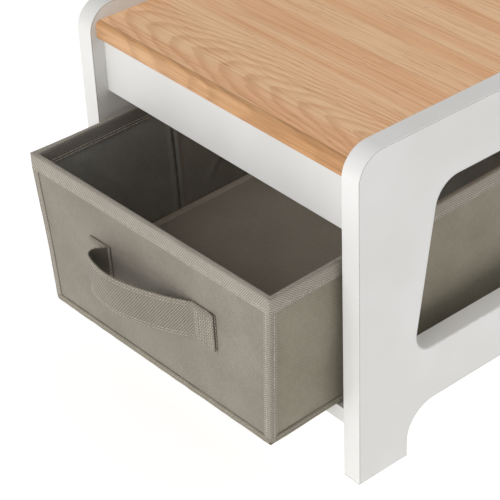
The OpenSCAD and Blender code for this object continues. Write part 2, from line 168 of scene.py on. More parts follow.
class Graph:
    """The node tree of one finish, built round its principled shader."""

    def __init__(self, name: str, **sockets: float | Tone) -> None:
        """Starts a material.

        Args:
            name: The material's name.
            **sockets: Plain values for the shader, with underscores for spaces.
        """
        self.material = bpy.data.materials.new(name)
        self.material.use_nodes = True
        self.tree = self.material.node_tree
        self.shader = self.tree.nodes["Principled BSDF"]
        for socket, value in sockets.items():
            words = " ".join(w if w == "IOR" else w.capitalize() for w in socket.split("_"))
            self.shader.inputs[words].default_value = value

    def add(
        self, kind: str, feeds: dict[int | str, object] | None = None, **settings: object
    ) -> bpy.types.Node:
        """Adds a node.

        Args:
            kind: The node's type.
            feeds: What goes into its inputs: sockets are linked, values are set.
            **settings: The node's own properties.

        Returns:
            The node.
        """
        node = self.tree.nodes.new(kind)
        for key, value in settings.items():
            setattr(node, key, value)
        for key, value in (feeds or {}).items():
            self.feed(node.inputs[key], value)
        return node

    def feed(self, into: bpy.types.NodeSocket, value: object) -> None:
        """Links a socket to an input, or sets the input's value.

        Args:
            into: The input.
            value: A socket, or a plain value.
        """
        if isinstance(value, bpy.types.NodeSocket):
            self.tree.links.new(value, into)
        else:
            into.default_value = value

    def math(self, operation: str, *terms: object) -> bpy.types.NodeSocket:
        """Does one sum.

        Args:
            operation: The Math node's operation.
            *terms: Its one to three terms.

        Returns:
            The result's socket.
        """
        return self.add("ShaderNodeMath", dict(enumerate(terms)), operation=operation).outputs[0]

    def place(
        self,
        scale: Sequence[float] = (1, 1, 1),
        shift: Sequence[float] = (0, 0, 0),
        uv: bool = False,
        twist: float = 0.0,
    ) -> bpy.types.NodeSocket:
        """Gives a place on the piece, in metres times scale.

        Args:
            scale: What each coordinate is multiplied by.
            shift: What is added after that.
            uv: Whether to read the cloth's own map and not the object's space.
            twist: Turn about Z, in radians.

        Returns:
            The vector's socket.
        """
        if uv:
            source = self.add("ShaderNodeUVMap", uv_map=UV_NAME).outputs["UV"]
        else:
            source = self.add("ShaderNodeTexCoord").outputs["Object"]
        feeds = {"Vector": source, "Scale": scale, "Location": shift, "Rotation": (0, 0, twist)}
        return self.add("ShaderNodeMapping", feeds).outputs[0]

    def noise(self, where: bpy.types.NodeSocket, scale: float, detail: float = 3.0) -> bpy.types.NodeSocket:
        """Reads a cloudy pattern.

        Args:
            where: The place to read.
            scale: Clouds in one unit of where.
            detail: How many finer layers lie in it.

        Returns:
            The pattern's value, about 0.5 on average.
        """
        feeds = {"Vector": where, "Scale": scale, "Detail": detail}
        return self.add("ShaderNodeTexNoise", feeds).outputs["Fac"]

    def spread(
        self, value: bpy.types.NodeSocket, low: float, high: float, to: tuple[float, float] = (0.0, 1.0)
    ) -> bpy.types.NodeSocket:
        """Stretches a span of values over another, and stops at its ends.

        Args:
            value: What is read.
            low: The span's low end.
            high: Its high end.
            to: What the ends become.

        Returns:
            The stretched value.
        """
        feeds = {"Value": value, "From Min": low, "From Max": high, "To Min": to[0], "To Max": to[1]}
        return self.add("ShaderNodeMapRange", feeds, interpolation_type="SMOOTHSTEP").outputs[0]

    def mix(self, share: object, first: object, second: object, mode: str = "MIX") -> bpy.types.NodeSocket:
        """Mixes two colours.

        Args:
            share: How much of the second shows.
            first: The first colour.
            second: The second colour.
            mode: How they are put together.

        Returns:
            The mixed colour.
        """
        feeds = {0: share, 6: first, 7: second}
        return self.add("ShaderNodeMix", feeds, data_type="RGBA", blend_type=mode).outputs[2]

    def colour(self, value: bpy.types.NodeSocket) -> None:
        """Feeds the shader's colour."""
        self.feed(self.shader.inputs["Base Color"], value)

    def gloss(self, value: bpy.types.NodeSocket, low: float, high: float) -> None:
        """Feeds the shader's roughness, from low to high as value goes from 0 to 1."""
        self.feed(self.shader.inputs["Roughness"], self.spread(value, 0.0, 1.0, (low, high)))

    def bump(self, height: bpy.types.NodeSocket, distance: float, strength: float = 1.0) -> None:
        """Raises the surface.

        Args:
            height: The relief, from 0 to 1.
            distance: Its real height in metres.
            strength: How much of it shows.
        """
        feeds = {"Height": height, "Distance": distance, "Strength": strength}
        self.feed(self.shader.inputs["Normal"], self.add("ShaderNodeBump", feeds).outputs[0])


# Finishes ------------------------------------------------------------------


@dataclass(frozen=True)
class WhiteBoard:
    """Satin white foil with a faint orange peel and hardly any variation."""

    name: str = "white_foil"
    light: str = "e9e8e6"
    shade: str = "e3e2df"
    low_gloss: float = 0.34
    high_gloss: float = 0.5

    def material(self) -> bpy.types.Material:
        """Returns the material, with its clouds, peel and sheen."""
        graph = Graph(self.name, IOR=1.46)
        clouds = graph.noise(graph.place(), 9.0, 2.0)
        specks = graph.noise(graph.place(), 900.0, 2.0)
        graph.colour(graph.mix(graph.spread(clouds, 0.35, 0.65), tone(self.light), tone(self.shade)))
        graph.gloss(graph.noise(graph.place(), 60.0), self.low_gloss, self.high_gloss)
        graph.bump(specks, 0.00006, 0.35)
        return graph.material


@dataclass(frozen=True)
class GlueLine:
    """The thin greyish line where the edging meets the board's face."""

    name: str = "glue_line"
    light: str = "8d8375"
    shade: str = "6f665a"

    def material(self) -> bpy.types.Material:
        """Returns the material, uneven along the line."""
        graph = Graph(self.name, Roughness=0.7)
        uneven = graph.noise(graph.place(), 160.0)
        graph.colour(graph.mix(graph.spread(uneven, 0.3, 0.7), tone(self.light), tone(self.shade)))
        return graph.material


@dataclass(frozen=True)
class Oak:
    """Crown-cut oak foil: arched rings in the middle, straight grain beside them, fine pores."""

    name: str
    light: str
    mid: str
    dark: str
    pith_y: float = -69 * MM
    ring: float = 4.6 * MM
    depth: float = 40 * MM
    slope: float = 0.15
    narrow: float = 1.2
    figure: float = 1.0

    def rings(self, graph: Graph) -> bpy.types.NodeSocket:
        """Builds the growth rings.

        A log's rings are cylinders, and its axis leaves the board's face at a small angle, so the
        rings show as arches that open towards +X.

        Args:
            graph: The finish's graph.

        Returns:
            How dark the late wood is at a point, from 0 to 1, fading beside the arches.
        """
        wander = graph.noise(graph.place((9, 13, 5)), 1.0, 2.0)
        fine = graph.noise(graph.place((26, 120, 60)), 1.0, 3.0)
        parts = graph.add("ShaderNodeSeparateXYZ", {0: graph.place()}).outputs
        sway = graph.math("MULTIPLY_ADD", wander, 24 * MM, -12 * MM)
        across = graph.math("MULTIPLY", graph.math("SUBTRACT", parts[1], self.pith_y), self.narrow)
        across = graph.math("ADD", across, sway)
        down = graph.math("MULTIPLY_ADD", parts[0], -self.slope, self.depth)
        squares = [graph.math("MULTIPLY", part, part) for part in (across, down)]
        radius = graph.math("SQRT", graph.math("ADD", *squares))
        ragged = graph.math("MULTIPLY_ADD", fine, 3.2 * MM, radius)
        fading = graph.spread(graph.math("ABSOLUTE", across), 26 * MM, 62 * MM, (1.0, 0.25))
        ring = graph.math("FRACT", graph.math("DIVIDE", ragged, self.ring))
        rising, falling = graph.spread(ring, 0.25, 0.8), graph.spread(ring, 0.86, 1.0, (1.0, 0.0))
        late = graph.math("MULTIPLY", rising, falling)
        return graph.math("MULTIPLY", late, fading)

    def material(self) -> bpy.types.Material:
        """Returns the material, with rings, streaks, pores and a soft sheen."""
        graph = Graph(self.name, IOR=1.45)
        ring = self.rings(graph)
        broad = graph.noise(graph.place((3.0, 70, 70)), 1.0, 2.0)
        streak = graph.noise(graph.place((9, 420, 420)), 1.0, 5.0)
        fibre = graph.noise(graph.place((30, 1300, 1300)), 1.0, 2.0)
        pores = graph.spread(graph.noise(graph.place((60, 900, 900)), 1.0, 1.0), 0.64, 0.74)
        base = graph.mix(graph.spread(broad, 0.35, 0.65), tone(self.light), tone(self.mid))
        lines = graph.math("MULTIPLY", graph.spread(streak, 0.4, 0.7), 0.42)
        streaky = graph.mix(lines, base, tone(self.dark))
        ringed = graph.mix(graph.math("MULTIPLY", ring, 0.36 * self.figure), streaky, tone(self.dark))
        pale = graph.math("MULTIPLY", graph.spread(fibre, 0.35, 0.75), 0.2)
        fibrous = graph.mix(pale, ringed, tone(self.light))
        porous = graph.math("MULTIPLY", pores, graph.math("MULTIPLY_ADD", ring, 0.2, 0.24))
        graph.colour(graph.mix(porous, fibrous, tone("8a5f3c")))
        graph.gloss(streak, 0.42, 0.62)
        graph.bump(graph.math("SUBTRACT", streak, graph.math("MULTIPLY", pores, 0.7)), 0.00007, 0.5)
        return graph.material


@dataclass(frozen=True)
class Cloth:
    """Pressed non-woven cloth with a fine crossed emboss, in the piece's own map, with painted shade in the
    emboss hollows and, where set, on a tape's inner leg.
    """

    name: str
    light: str
    shade: str
    pitch: float = 1.5 * MM
    relief: float = 0.16 * MM
    hollow_shade: float = 0.35
    crossing: float = 0.45
    slants: tuple[float, float] = (38, -52)
    fibre_scale: float = 1400.0
    inner_shade_from: float = 0.0
    inner_shade: float = 0.5

    def emboss(self, graph: Graph) -> bpy.types.NodeSocket:
        """Builds the crossed ribs, one way stronger than the other.

        Args:
            graph: The finish's graph.

        Returns:
            The ribs' height from 0 to 1.
        """
        per_metre = math.pi / self.pitch
        ribs = []
        for slant in self.slants:
            where = graph.place((per_metre,) * 3, uv=True, twist=math.radians(slant))
            along = graph.add("ShaderNodeSeparateXYZ", {0: where}).outputs[0]
            ribs.append(graph.math("ABSOLUTE", graph.math("SINE", along)))
        second = graph.math("MULTIPLY_ADD", ribs[1], self.crossing, 1 - self.crossing)
        return graph.math("MULTIPLY", ribs[0], second)

    def material(self) -> bpy.types.Material:
        """Returns the material, with emboss, fibres, uneven dye and painted shade."""
        graph = Graph(self.name, Sheen_Weight=0.12, Sheen_Roughness=0.6, IOR=1.4)
        ribs = self.emboss(graph)
        fibres = graph.noise(graph.place(uv=True), self.fibre_scale, 2.0)
        dye = graph.noise(graph.place(uv=True), 18.0, 5.0)
        flecks = graph.noise(graph.place((1, 0.35, 1), uv=True), 420.0, 2.0)
        body = graph.mix(graph.spread(dye, 0.1, 0.9), tone(self.light), tone(self.shade))
        # Painted shade: the colour is darkened in the emboss hollows, where shade falls between the ribs.
        low = graph.math("MULTIPLY", graph.math("SUBTRACT", 1.0, ribs), self.hollow_shade)
        emboss_shaded = graph.mix(low, body, EMBOSS_SHADE, "MULTIPLY")
        rough = graph.math("MULTIPLY_ADD", fibres, 0.6, graph.math("MULTIPLY", flecks, 0.4))
        # Fibres and flecks lighten the colour that carries the painted hollow shade.
        fibres_and_shade = graph.mix(graph.spread(rough, 0.3, 0.7, (0.0, 0.3)), emboss_shaded, (1, 1, 1, 1), "SOFT_LIGHT")
        # Painted shade: past a set width across the tape, its inner leg darkens as if in the drawer's shade.
        if self.inner_shade_from:
            across = graph.add("ShaderNodeSeparateXYZ", {0: graph.place(uv=True)}).outputs[1]
            turned = graph.spread(across, self.inner_shade_from, self.inner_shade_from + 2 * MM, (0.0, self.inner_shade))
            fibres_and_shade = graph.mix(turned, fibres_and_shade, INNER_LEG_SHADE)
        graph.colour(fibres_and_shade)
        graph.gloss(fibres, 0.72, 0.95)
        graph.bump(graph.math("MULTIPLY_ADD", fibres, 0.25, ribs), self.relief, 0.8)
        return graph.material


@dataclass(frozen=True)
class Plain:
    """A fitting's or core's finish: one colour with wear streaks along one direction."""

    name: str
    light: str
    shade: str
    stretch: tuple[float, float, float]
    roughness: tuple[float, float]
    metallic: float = 0.0
    relief: float = 0.03 * MM

    def material(self) -> bpy.types.Material:
        """Returns the material, streaked along its stretch."""
        graph = Graph(self.name, Metallic=self.metallic)
        streaks = graph.noise(graph.place(self.stretch), 1.0, 4.0)
        clouds = graph.noise(graph.place(), 70.0, 2.0)
        both = graph.math("MULTIPLY_ADD", streaks, 0.7, graph.math("MULTIPLY", clouds, 0.3))
        graph.colour(graph.mix(graph.spread(both, 0.35, 0.65), tone(self.light), tone(self.shade)))
        graph.gloss(both, *self.roughness)
        graph.bump(streaks, self.relief, 0.6)
        return graph.material


@dataclass(frozen=True)
class Finishes:
    """Every finish of the bench, made once."""

    board: bpy.types.Material
    edging: bpy.types.Material
    glue: bpy.types.Material
    oak: bpy.types.Material
    oak_edge: bpy.types.Material
    zinc: bpy.types.Material
    beech: bpy.types.Material
    card: bpy.types.Material
    cloth: bpy.types.Material
    side_cloth: bpy.types.Material
    lining: bpy.types.Material
    insert: bpy.types.Material
    insert_border: bpy.types.Material
    rim: bpy.types.Material
    tape: bpy.types.Material
    foot: bpy.types.Material
    strap: bpy.types.Material
    strap_back: bpy.types.Material
    thread: bpy.types.Material

    @classmethod
    def make(cls) -> Finishes:
        """Returns the set of finishes."""
        return cls(
            board=WhiteBoard().material(),
            edging=WhiteBoard("white_edge_foil", "eeedeb", "e8e7e4", 0.3, 0.42).material(),
            glue=GlueLine().material(),
            oak=Oak("oak_foil", "fdd2a6", "f6bf90", "cc8b58").material(),
            oak_edge=Oak("oak_edge_foil", "deae80", "cd9866", "8f5d35", figure=0.7).material(),
            zinc=Plain("zinc_plate", "b4b6b8", "8e9194", (300, 300, 300), (0.28, 0.46), 1.0).material(),
            beech=Plain("beech_wood", "d6b489", "b9905f", (20, 900, 900), (0.5, 0.7)).material(),
            card=Plain("grey_board", "9c8f78", "7f735f", (160, 700, 160), (0.8, 0.95)).material(),
            cloth=Cloth("drawer_fabric", "9d9588", "847d70", 1.5 * MM, 0.18 * MM, 0.55, 0.9).material(),
            # Painted light: the side walls' copy of the drawer cloth has its own emboss and a lighter
            # colour, set to match how light falls on the sides.
            side_cloth=Cloth("side_fabric_light_matched", "a9a18e", "918a75", 1.9 * MM, 0.26 * MM, 1.0, 0.3).material(),
            lining=Cloth("lining_fabric", "9c9b94", "81817c", hollow_shade=0.45).material(),
            insert=Cloth("insert_fabric", "b6b5ab", "a4a39a", 1.8 * MM, 0.2 * MM, 0.45, 0.3).material(),
            insert_border=Cloth(
                "insert_border_fabric", "cccabf", "bcbaaf", 1.8 * MM, 0.2 * MM, 0.45, 0.3
            ).material(),
            # The rim tape's inner leg, from 18 mm across, carries painted shade.
            rim=Cloth(
                "rim_fabric", "c4bdb0", "b4ac9f", 1.6 * MM, 0.3 * MM, 1.0, 1.0, inner_shade_from=18 * MM
            ).material(),
            tape=Cloth("tape_fabric", "b9b2a5", "a9a194", 1.6 * MM, 0.3 * MM, 1.0, 1.0).material(),
            # Painted shade: the bottom tape's cloth is darker than the other tapes, for the shade on its
            # downward-turned band.
            foot=Cloth("foot_fabric_shaded", "989181", "878070", 1.7 * MM, 0.2 * MM, 0.6).material(),
            strap=Cloth("strap_fabric", "a69e90", "90887a", 1.9 * MM, 0.28 * MM, 0.95, 1.0).material(),
            # Painted shade: a darker copy of the strap cloth for the bow's shaded inner face.
            strap_back=Cloth("strap_back_shade_fabric", "5d574a", "504a3f", 1.7 * MM, 0.2 * MM, 0.5).material(),
            thread=Plain("thread", "d2cbbc", "aaa294", (900, 900, 900), (0.7, 0.9)).material(),
        )


# Mesh work -----------------------------------------------------------------


def deselect() -> None:
    """Leaves edit mode and selects nothing."""
    if bpy.context.object is not None and bpy.context.object.mode != "OBJECT":
        bpy.ops.object.mode_set(mode="OBJECT")
    bpy.ops.object.select_all(action="DESELECT")


def activate(piece: bpy.types.Object) -> None:
    """Selects one piece alone and makes it the active one."""
    deselect()
    piece.select_set(True)
    bpy.context.view_layer.objects.active = piece


def ripple(share: float, scale: float, layer: float) -> float:
    """Reads a closed wavy line at a share of the way round the drawer.

    Args:
        share: The share of the way round.
        scale: How close its waves lie.
        layer: Which of many such lines.

    Returns:
        A value from -1 to 1.
    """
    angle = share * 2 * math.pi
    return noise.noise(Vector((math.cos(angle) * scale, math.sin(angle) * scale, layer)))


@contextmanager
def editing(piece: bpy.types.Object, selected: bool = True) -> Iterator[None]:
    """Holds a piece in edit mode, and leaves it in object mode afterwards.

    Args:
        piece: The piece.
        selected: Whether everything on it is selected to begin with.

    Yields:
        Nothing.
    """
    activate(piece)
    bpy.ops.object.mode_set(mode="EDIT")
    bpy.ops.mesh.select_all(action="SELECT" if selected else "DESELECT")
    yield
    bpy.ops.object.mode_set(mode="OBJECT")


def apply_modifier(piece: bpy.types.Object, kind: str, **settings: object) -> None:
    """Adds a modifier to a piece and applies it.

    Args:
        piece: The piece.
        kind: The modifier's type.
        **settings: Its properties.
    """
    activate(piece)
    modifier = piece.modifiers.new(kind.title(), kind)
    for key, value in settings.items():
        setattr(modifier, key, value)
    bpy.ops.object.modifier_apply(modifier=modifier.name)


def settle(piece: bpy.types.Object) -> None:
    """Moves a piece's place into its mesh, so that its object lies at the origin, unturned."""
    bpy.context.view_layer.update()
    world = piece.matrix_world.copy()
    piece.matrix_world = Matrix.Identity(4)
    piece.data.transform(world)
    piece.data.update()


def ready(piece: bpy.types.Object, body: Body, slot: Slot) -> bpy.types.Object:
    """Puts a piece on its CAD body and reports it.

    Args:
        piece: The piece.
        body: The body that it rides on.
        slot: The record's slot for its finish; not used.

    Returns:
        The piece.
    """
    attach(piece, body.value)
    LOG.info("%s built, %d faces", piece.name, len(piece.data.polygons))
    return piece


def dress(piece: bpy.types.Object, finish: bpy.types.Material, angle: float = 40.0) -> None:
    """Gives a piece its finish and smooth shading up to an angle.

    Args:
        piece: The piece.
        finish: Its material.
        angle: Edges sharper than this many degrees stay crisp.
    """
    piece.data.materials.clear()
    piece.data.materials.append(finish)
    activate(piece)
    bpy.ops.object.shade_smooth_by_angle(angle=math.radians(angle))


def weave(
    name: str, columns: int, rows: int, place: Place, size: Sequence[float] | Measure
) -> bpy.types.Object:
    """Makes a sheet from a grid whose corners are put in place one by one.

    Args:
        name: The piece's name.
        columns: Faces along the sheet's first side.
        rows: Faces along its second side.
        place: Gives a point for two shares from 0 to 1.
        size: The sheet's own size in metres, for its map, or what gives the map at two shares.

    Returns:
        The sheet, with its map in metres, and its faces towards first side times second side.
    """
    deselect()
    bpy.ops.mesh.primitive_grid_add(x_subdivisions=columns, y_subdivisions=rows, size=2)
    piece = bpy.context.object
    piece.name = piece.data.name = name
    mesh = piece.data
    shares = [((v.co.x + 1) / 2, (v.co.y + 1) / 2) for v in mesh.vertices]
    measure = size if callable(size) else lambda s, t: (s * size[0], t * size[1])
    loops = np.zeros(len(mesh.loops), int)
    mesh.loops.foreach_get("vertex_index", loops)
    mapped = np.array([measure(s, t) for s, t in shares])[loops]
    mesh.uv_layers[0].name = UV_NAME
    mesh.uv_layers[0].data.foreach_set("uv", mapped.astype(np.float32).ravel())
    for vertex, (s, t) in zip(mesh.vertices, shares):
        vertex.co = place(s, t)
    mesh.update()
    return piece


def close_ring(piece: bpy.types.Object) -> None:
    """Joins the two ends of a sheet that goes all the way round."""
    with editing(piece):
        bpy.ops.mesh.remove_doubles(threshold=0.00001)


def thicken(piece: bpy.types.Object, thickness: float, rounding: float = 0.0) -> None:
    """Gives a sheet its thickness behind its face, and rounds its edges.

    Args:
        piece: The sheet.
        thickness: How thick it becomes.
        rounding: How far its edges are rounded.
    """
    apply_modifier(piece, "SOLIDIFY", thickness=thickness, offset=-1.0, use_even_offset=True)
    if rounding:
        apply_modifier(
            piece, "BEVEL", width=rounding, segments=2, limit_method="ANGLE", angle_limit=math.radians(55)
        )


@dataclass(frozen=True)
class Stitch:
    """Where one stitch lies: its middle, the way it runs, and the way it faces."""

    at: Vector
    along: Vector
    out: Vector


def stitch_form(length: float, width: float, height: float) -> tuple[np.ndarray, list[tuple[int, ...]]]:
    """Models one stitch of thread: a short bar with chamfered edges and pinched ends.

    Args:
        length: Its length.
        width: Its width.
        height: How far it stands out.

    Returns:
        Its points, and its faces as rows of point numbers.
    """
    deselect()
    bpy.ops.mesh.primitive_cube_add(size=1, scale=(length, width, height))
    bar = bpy.context.object
    activate(bar)
    bpy.ops.object.transform_apply(scale=True)
    with editing(bar):
        bpy.ops.mesh.bevel(offset=0.3 * width, segments=1)
    points = np.array([v.co for v in bar.data.vertices])
    faces = [tuple(p.vertices) for p in bar.data.polygons]
    bpy.data.meshes.remove(bar.data)
    ends = np.abs(points[:, 0]) / (length / 2)
    points[:, 1] *= 1 - 0.35 * ends**2
    points[:, 2] -= 0.35 * height * ends**2
    return points, faces


def sew(
    name: str,
    places: Sequence[Stitch],
    finish: bpy.types.Material,
    length: float = 2.5 * MM,
    width: float = 0.75 * MM,
    height: float = 0.6 * MM,
) -> bpy.types.Object:
    """Copies one stitch to every place along a seam.

    Args:
        name: The piece's name.
        places: Where the stitches lie.
        finish: The thread's material.
        length: A stitch's length.
        width: Its width.
        height: How thick it is; a third of it lies in the cloth.

    Returns:
        The seam.
    """
    points, faces = stitch_form(length, width, height)
    corners: list[np.ndarray] = []
    sides: list[tuple[int, ...]] = []
    for number, stitch in enumerate(places):
        along = stitch.along.normalized()
        across = stitch.out.cross(along).normalized()
        slant = 0.07 * math.sin(2.4 * number)
        along = (along + slant * across).normalized()
        across = stitch.out.cross(along).normalized()
        out = along.cross(across)
        turn = np.array([along, across, out])
        middle = np.array(stitch.at + out * height * 0.17)
        start = number * len(points)
        corners.append(points @ turn + middle)
        sides.extend(tuple(start + i for i in face) for face in faces)
    mesh = bpy.data.meshes.new(name)
    mesh.from_pydata(np.concatenate(corners).tolist(), [], sides)
    mesh.update()
    seam = bpy.data.objects.new(name, mesh)
    bpy.context.scene.collection.objects.link(seam)
    dress(seam, finish, 60)
    return seam


# The bench's hard pieces -----------------------------------------------------


@dataclass
class Carcass:
    """The boards, edgings and fittings, which keep their CAD shapes and get softened edges."""

    nodes: dict[str, bpy.types.Object]
    finishes: Finishes
    board_edge: float = 0.5 * MM
    band_edge: float = 0.25 * MM
    fitting_edge: float = 0.25 * MM
    seat_lower_edge: float = 0.6 * MM
    seat_nodes: tuple[str, ...] = ("seat_board", "seat_edge_front", "seat_edge_rear")

    def soften(self, node: bpy.types.Object, width: float, edge_slot: int = -1) -> None:
        """Welds a CAD node's loose triangles and rounds its edges, with live modifiers.

        Args:
            node: The CAD node.
            width: The rounding.
            edge_slot: The material slot of the rounded edges, or -1 for that of the faces beside them.
        """
        weld = node.modifiers.new("Weld", "WELD")
        weld.merge_threshold = 0.00001
        flat = node.modifiers.new("Flat", "DECIMATE")
        flat.decimate_type = "DISSOLVE"
        flat.angle_limit = math.radians(0.5)
        bevel = node.modifiers.new("Edges", "BEVEL")
        bevel.width = width
        bevel.segments = 2 if edge_slot < 0 else 1
        bevel.limit_method = "ANGLE"
        bevel.angle_limit = math.radians(40)
        bevel.material = edge_slot
        bevel.harden_normals = False

    def finish(self, name: str, material: bpy.types.Material, width: float, slot: Slot) -> None:
        """Gives a CAD node its material and softened edges.

        Args:
            name: The node's name.
            material: Its finish.
            width: Its edges' rounding.
            slot: The record's slot it stands for; not used.
        """
        node = self.nodes[name]
        node.data.materials.clear()
        node.data.materials.append(material)
        self.soften(node, width)
        LOG.info("%s finished", name)

    def build_panels(self) -> None:
        """Dresses the side panels, with a glue line where each face meets its edging."""
        for side in ("left", "right"):
            panel = self.nodes[f"side_panel_{side}"]
            panel.data.materials.clear()
            panel.data.materials.append(self.finishes.board)
            panel.data.materials.append(self.finishes.glue)
            self.soften(panel, self.board_edge, 1)
            LOG.info("side_panel_%s finished", side)
            for kind in ("edge_band", "window_band"):
                self.finish(f"{kind}_{side}", self.finishes.edging, self.band_edge, Slot.EDGING)

    def build_boards(self) -> None:
        """Dresses the rails and the shelf."""
        for name in ("front_rail", "rear_rail", "bottom_shelf"):
            self.finish(name, self.finishes.board, self.band_edge, Slot.BOARD)

    def build_seat(self) -> None:
        """Copies the seat's three pieces, merges each, and rounds the lower edges of its two strips."""
        for name in self.seat_nodes:
            node = self.nodes[name]
            piece = bpy.data.objects.new(f"{name}_wood", node.data.copy())
            bpy.context.scene.collection.objects.link(piece)
            with editing(piece):
                bpy.ops.mesh.remove_doubles(threshold=0.00001)
                bpy.ops.mesh.dissolve_limited(angle_limit=math.radians(0.5))
            strip = name != "seat_board"
            if strip:
                self.round_lower_edge(piece, name.endswith("front"))
            dress(piece, self.finishes.oak_edge if strip else self.finishes.oak, 45)
            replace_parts(ready(piece, Body.FRAME, Slot.SEAT_EDGE if strip else Slot.SEAT), name)

    def round_lower_edge(self, piece: bpy.types.Object, front: bool) -> None:
        """Rounds a seat strip's long lower edge.

        Args:
            piece: The strip.
            front: Whether it is the front strip.
        """
        points = [v.co for v in piece.data.vertices]
        low = min(p.z for p in points)
        outer = min(p.y for p in points) if front else max(p.y for p in points)
        with editing(piece, selected=False):
            work = bmesh.from_edit_mesh(piece.data)
            for edge in work.edges:
                ends = [v.co for v in edge.verts]
                edge.select_set(all(abs(p.z - low) < MM / 100 and abs(p.y - outer) < MM / 100 for p in ends))
            bmesh.update_edit_mesh(piece.data)
            bpy.ops.mesh.bevel(offset=self.seat_lower_edge, segments=3)

    def build_fittings(self) -> None:
        """Dresses the cam locks, bolts, dowels and the card and board cores."""
        zinc = [f"{board}_cam_locks" for board in ("seat", "shelf", "rail")]
        zinc += [f"cam_bolts_{side}" for side in ("left", "right")]
        for name in zinc:
            self.finish(name, self.finishes.zinc, self.fitting_edge, Slot.ZINC)
        for side in ("left", "right"):
            self.finish(f"dowels_{side}", self.finishes.beech, 2 * self.fitting_edge, Slot.DOWEL)
        cores = ["stiffener_front", "stiffener_back", "base_board"]
        cores += [f"stiffener_{side}_{end}" for side in ("left", "right") for end in ("front", "rear")]
        for name in cores:
            self.finish(name, self.finishes.card, self.fitting_edge, Slot.CARD)


# The drawer's form -----------------------------------------------------------


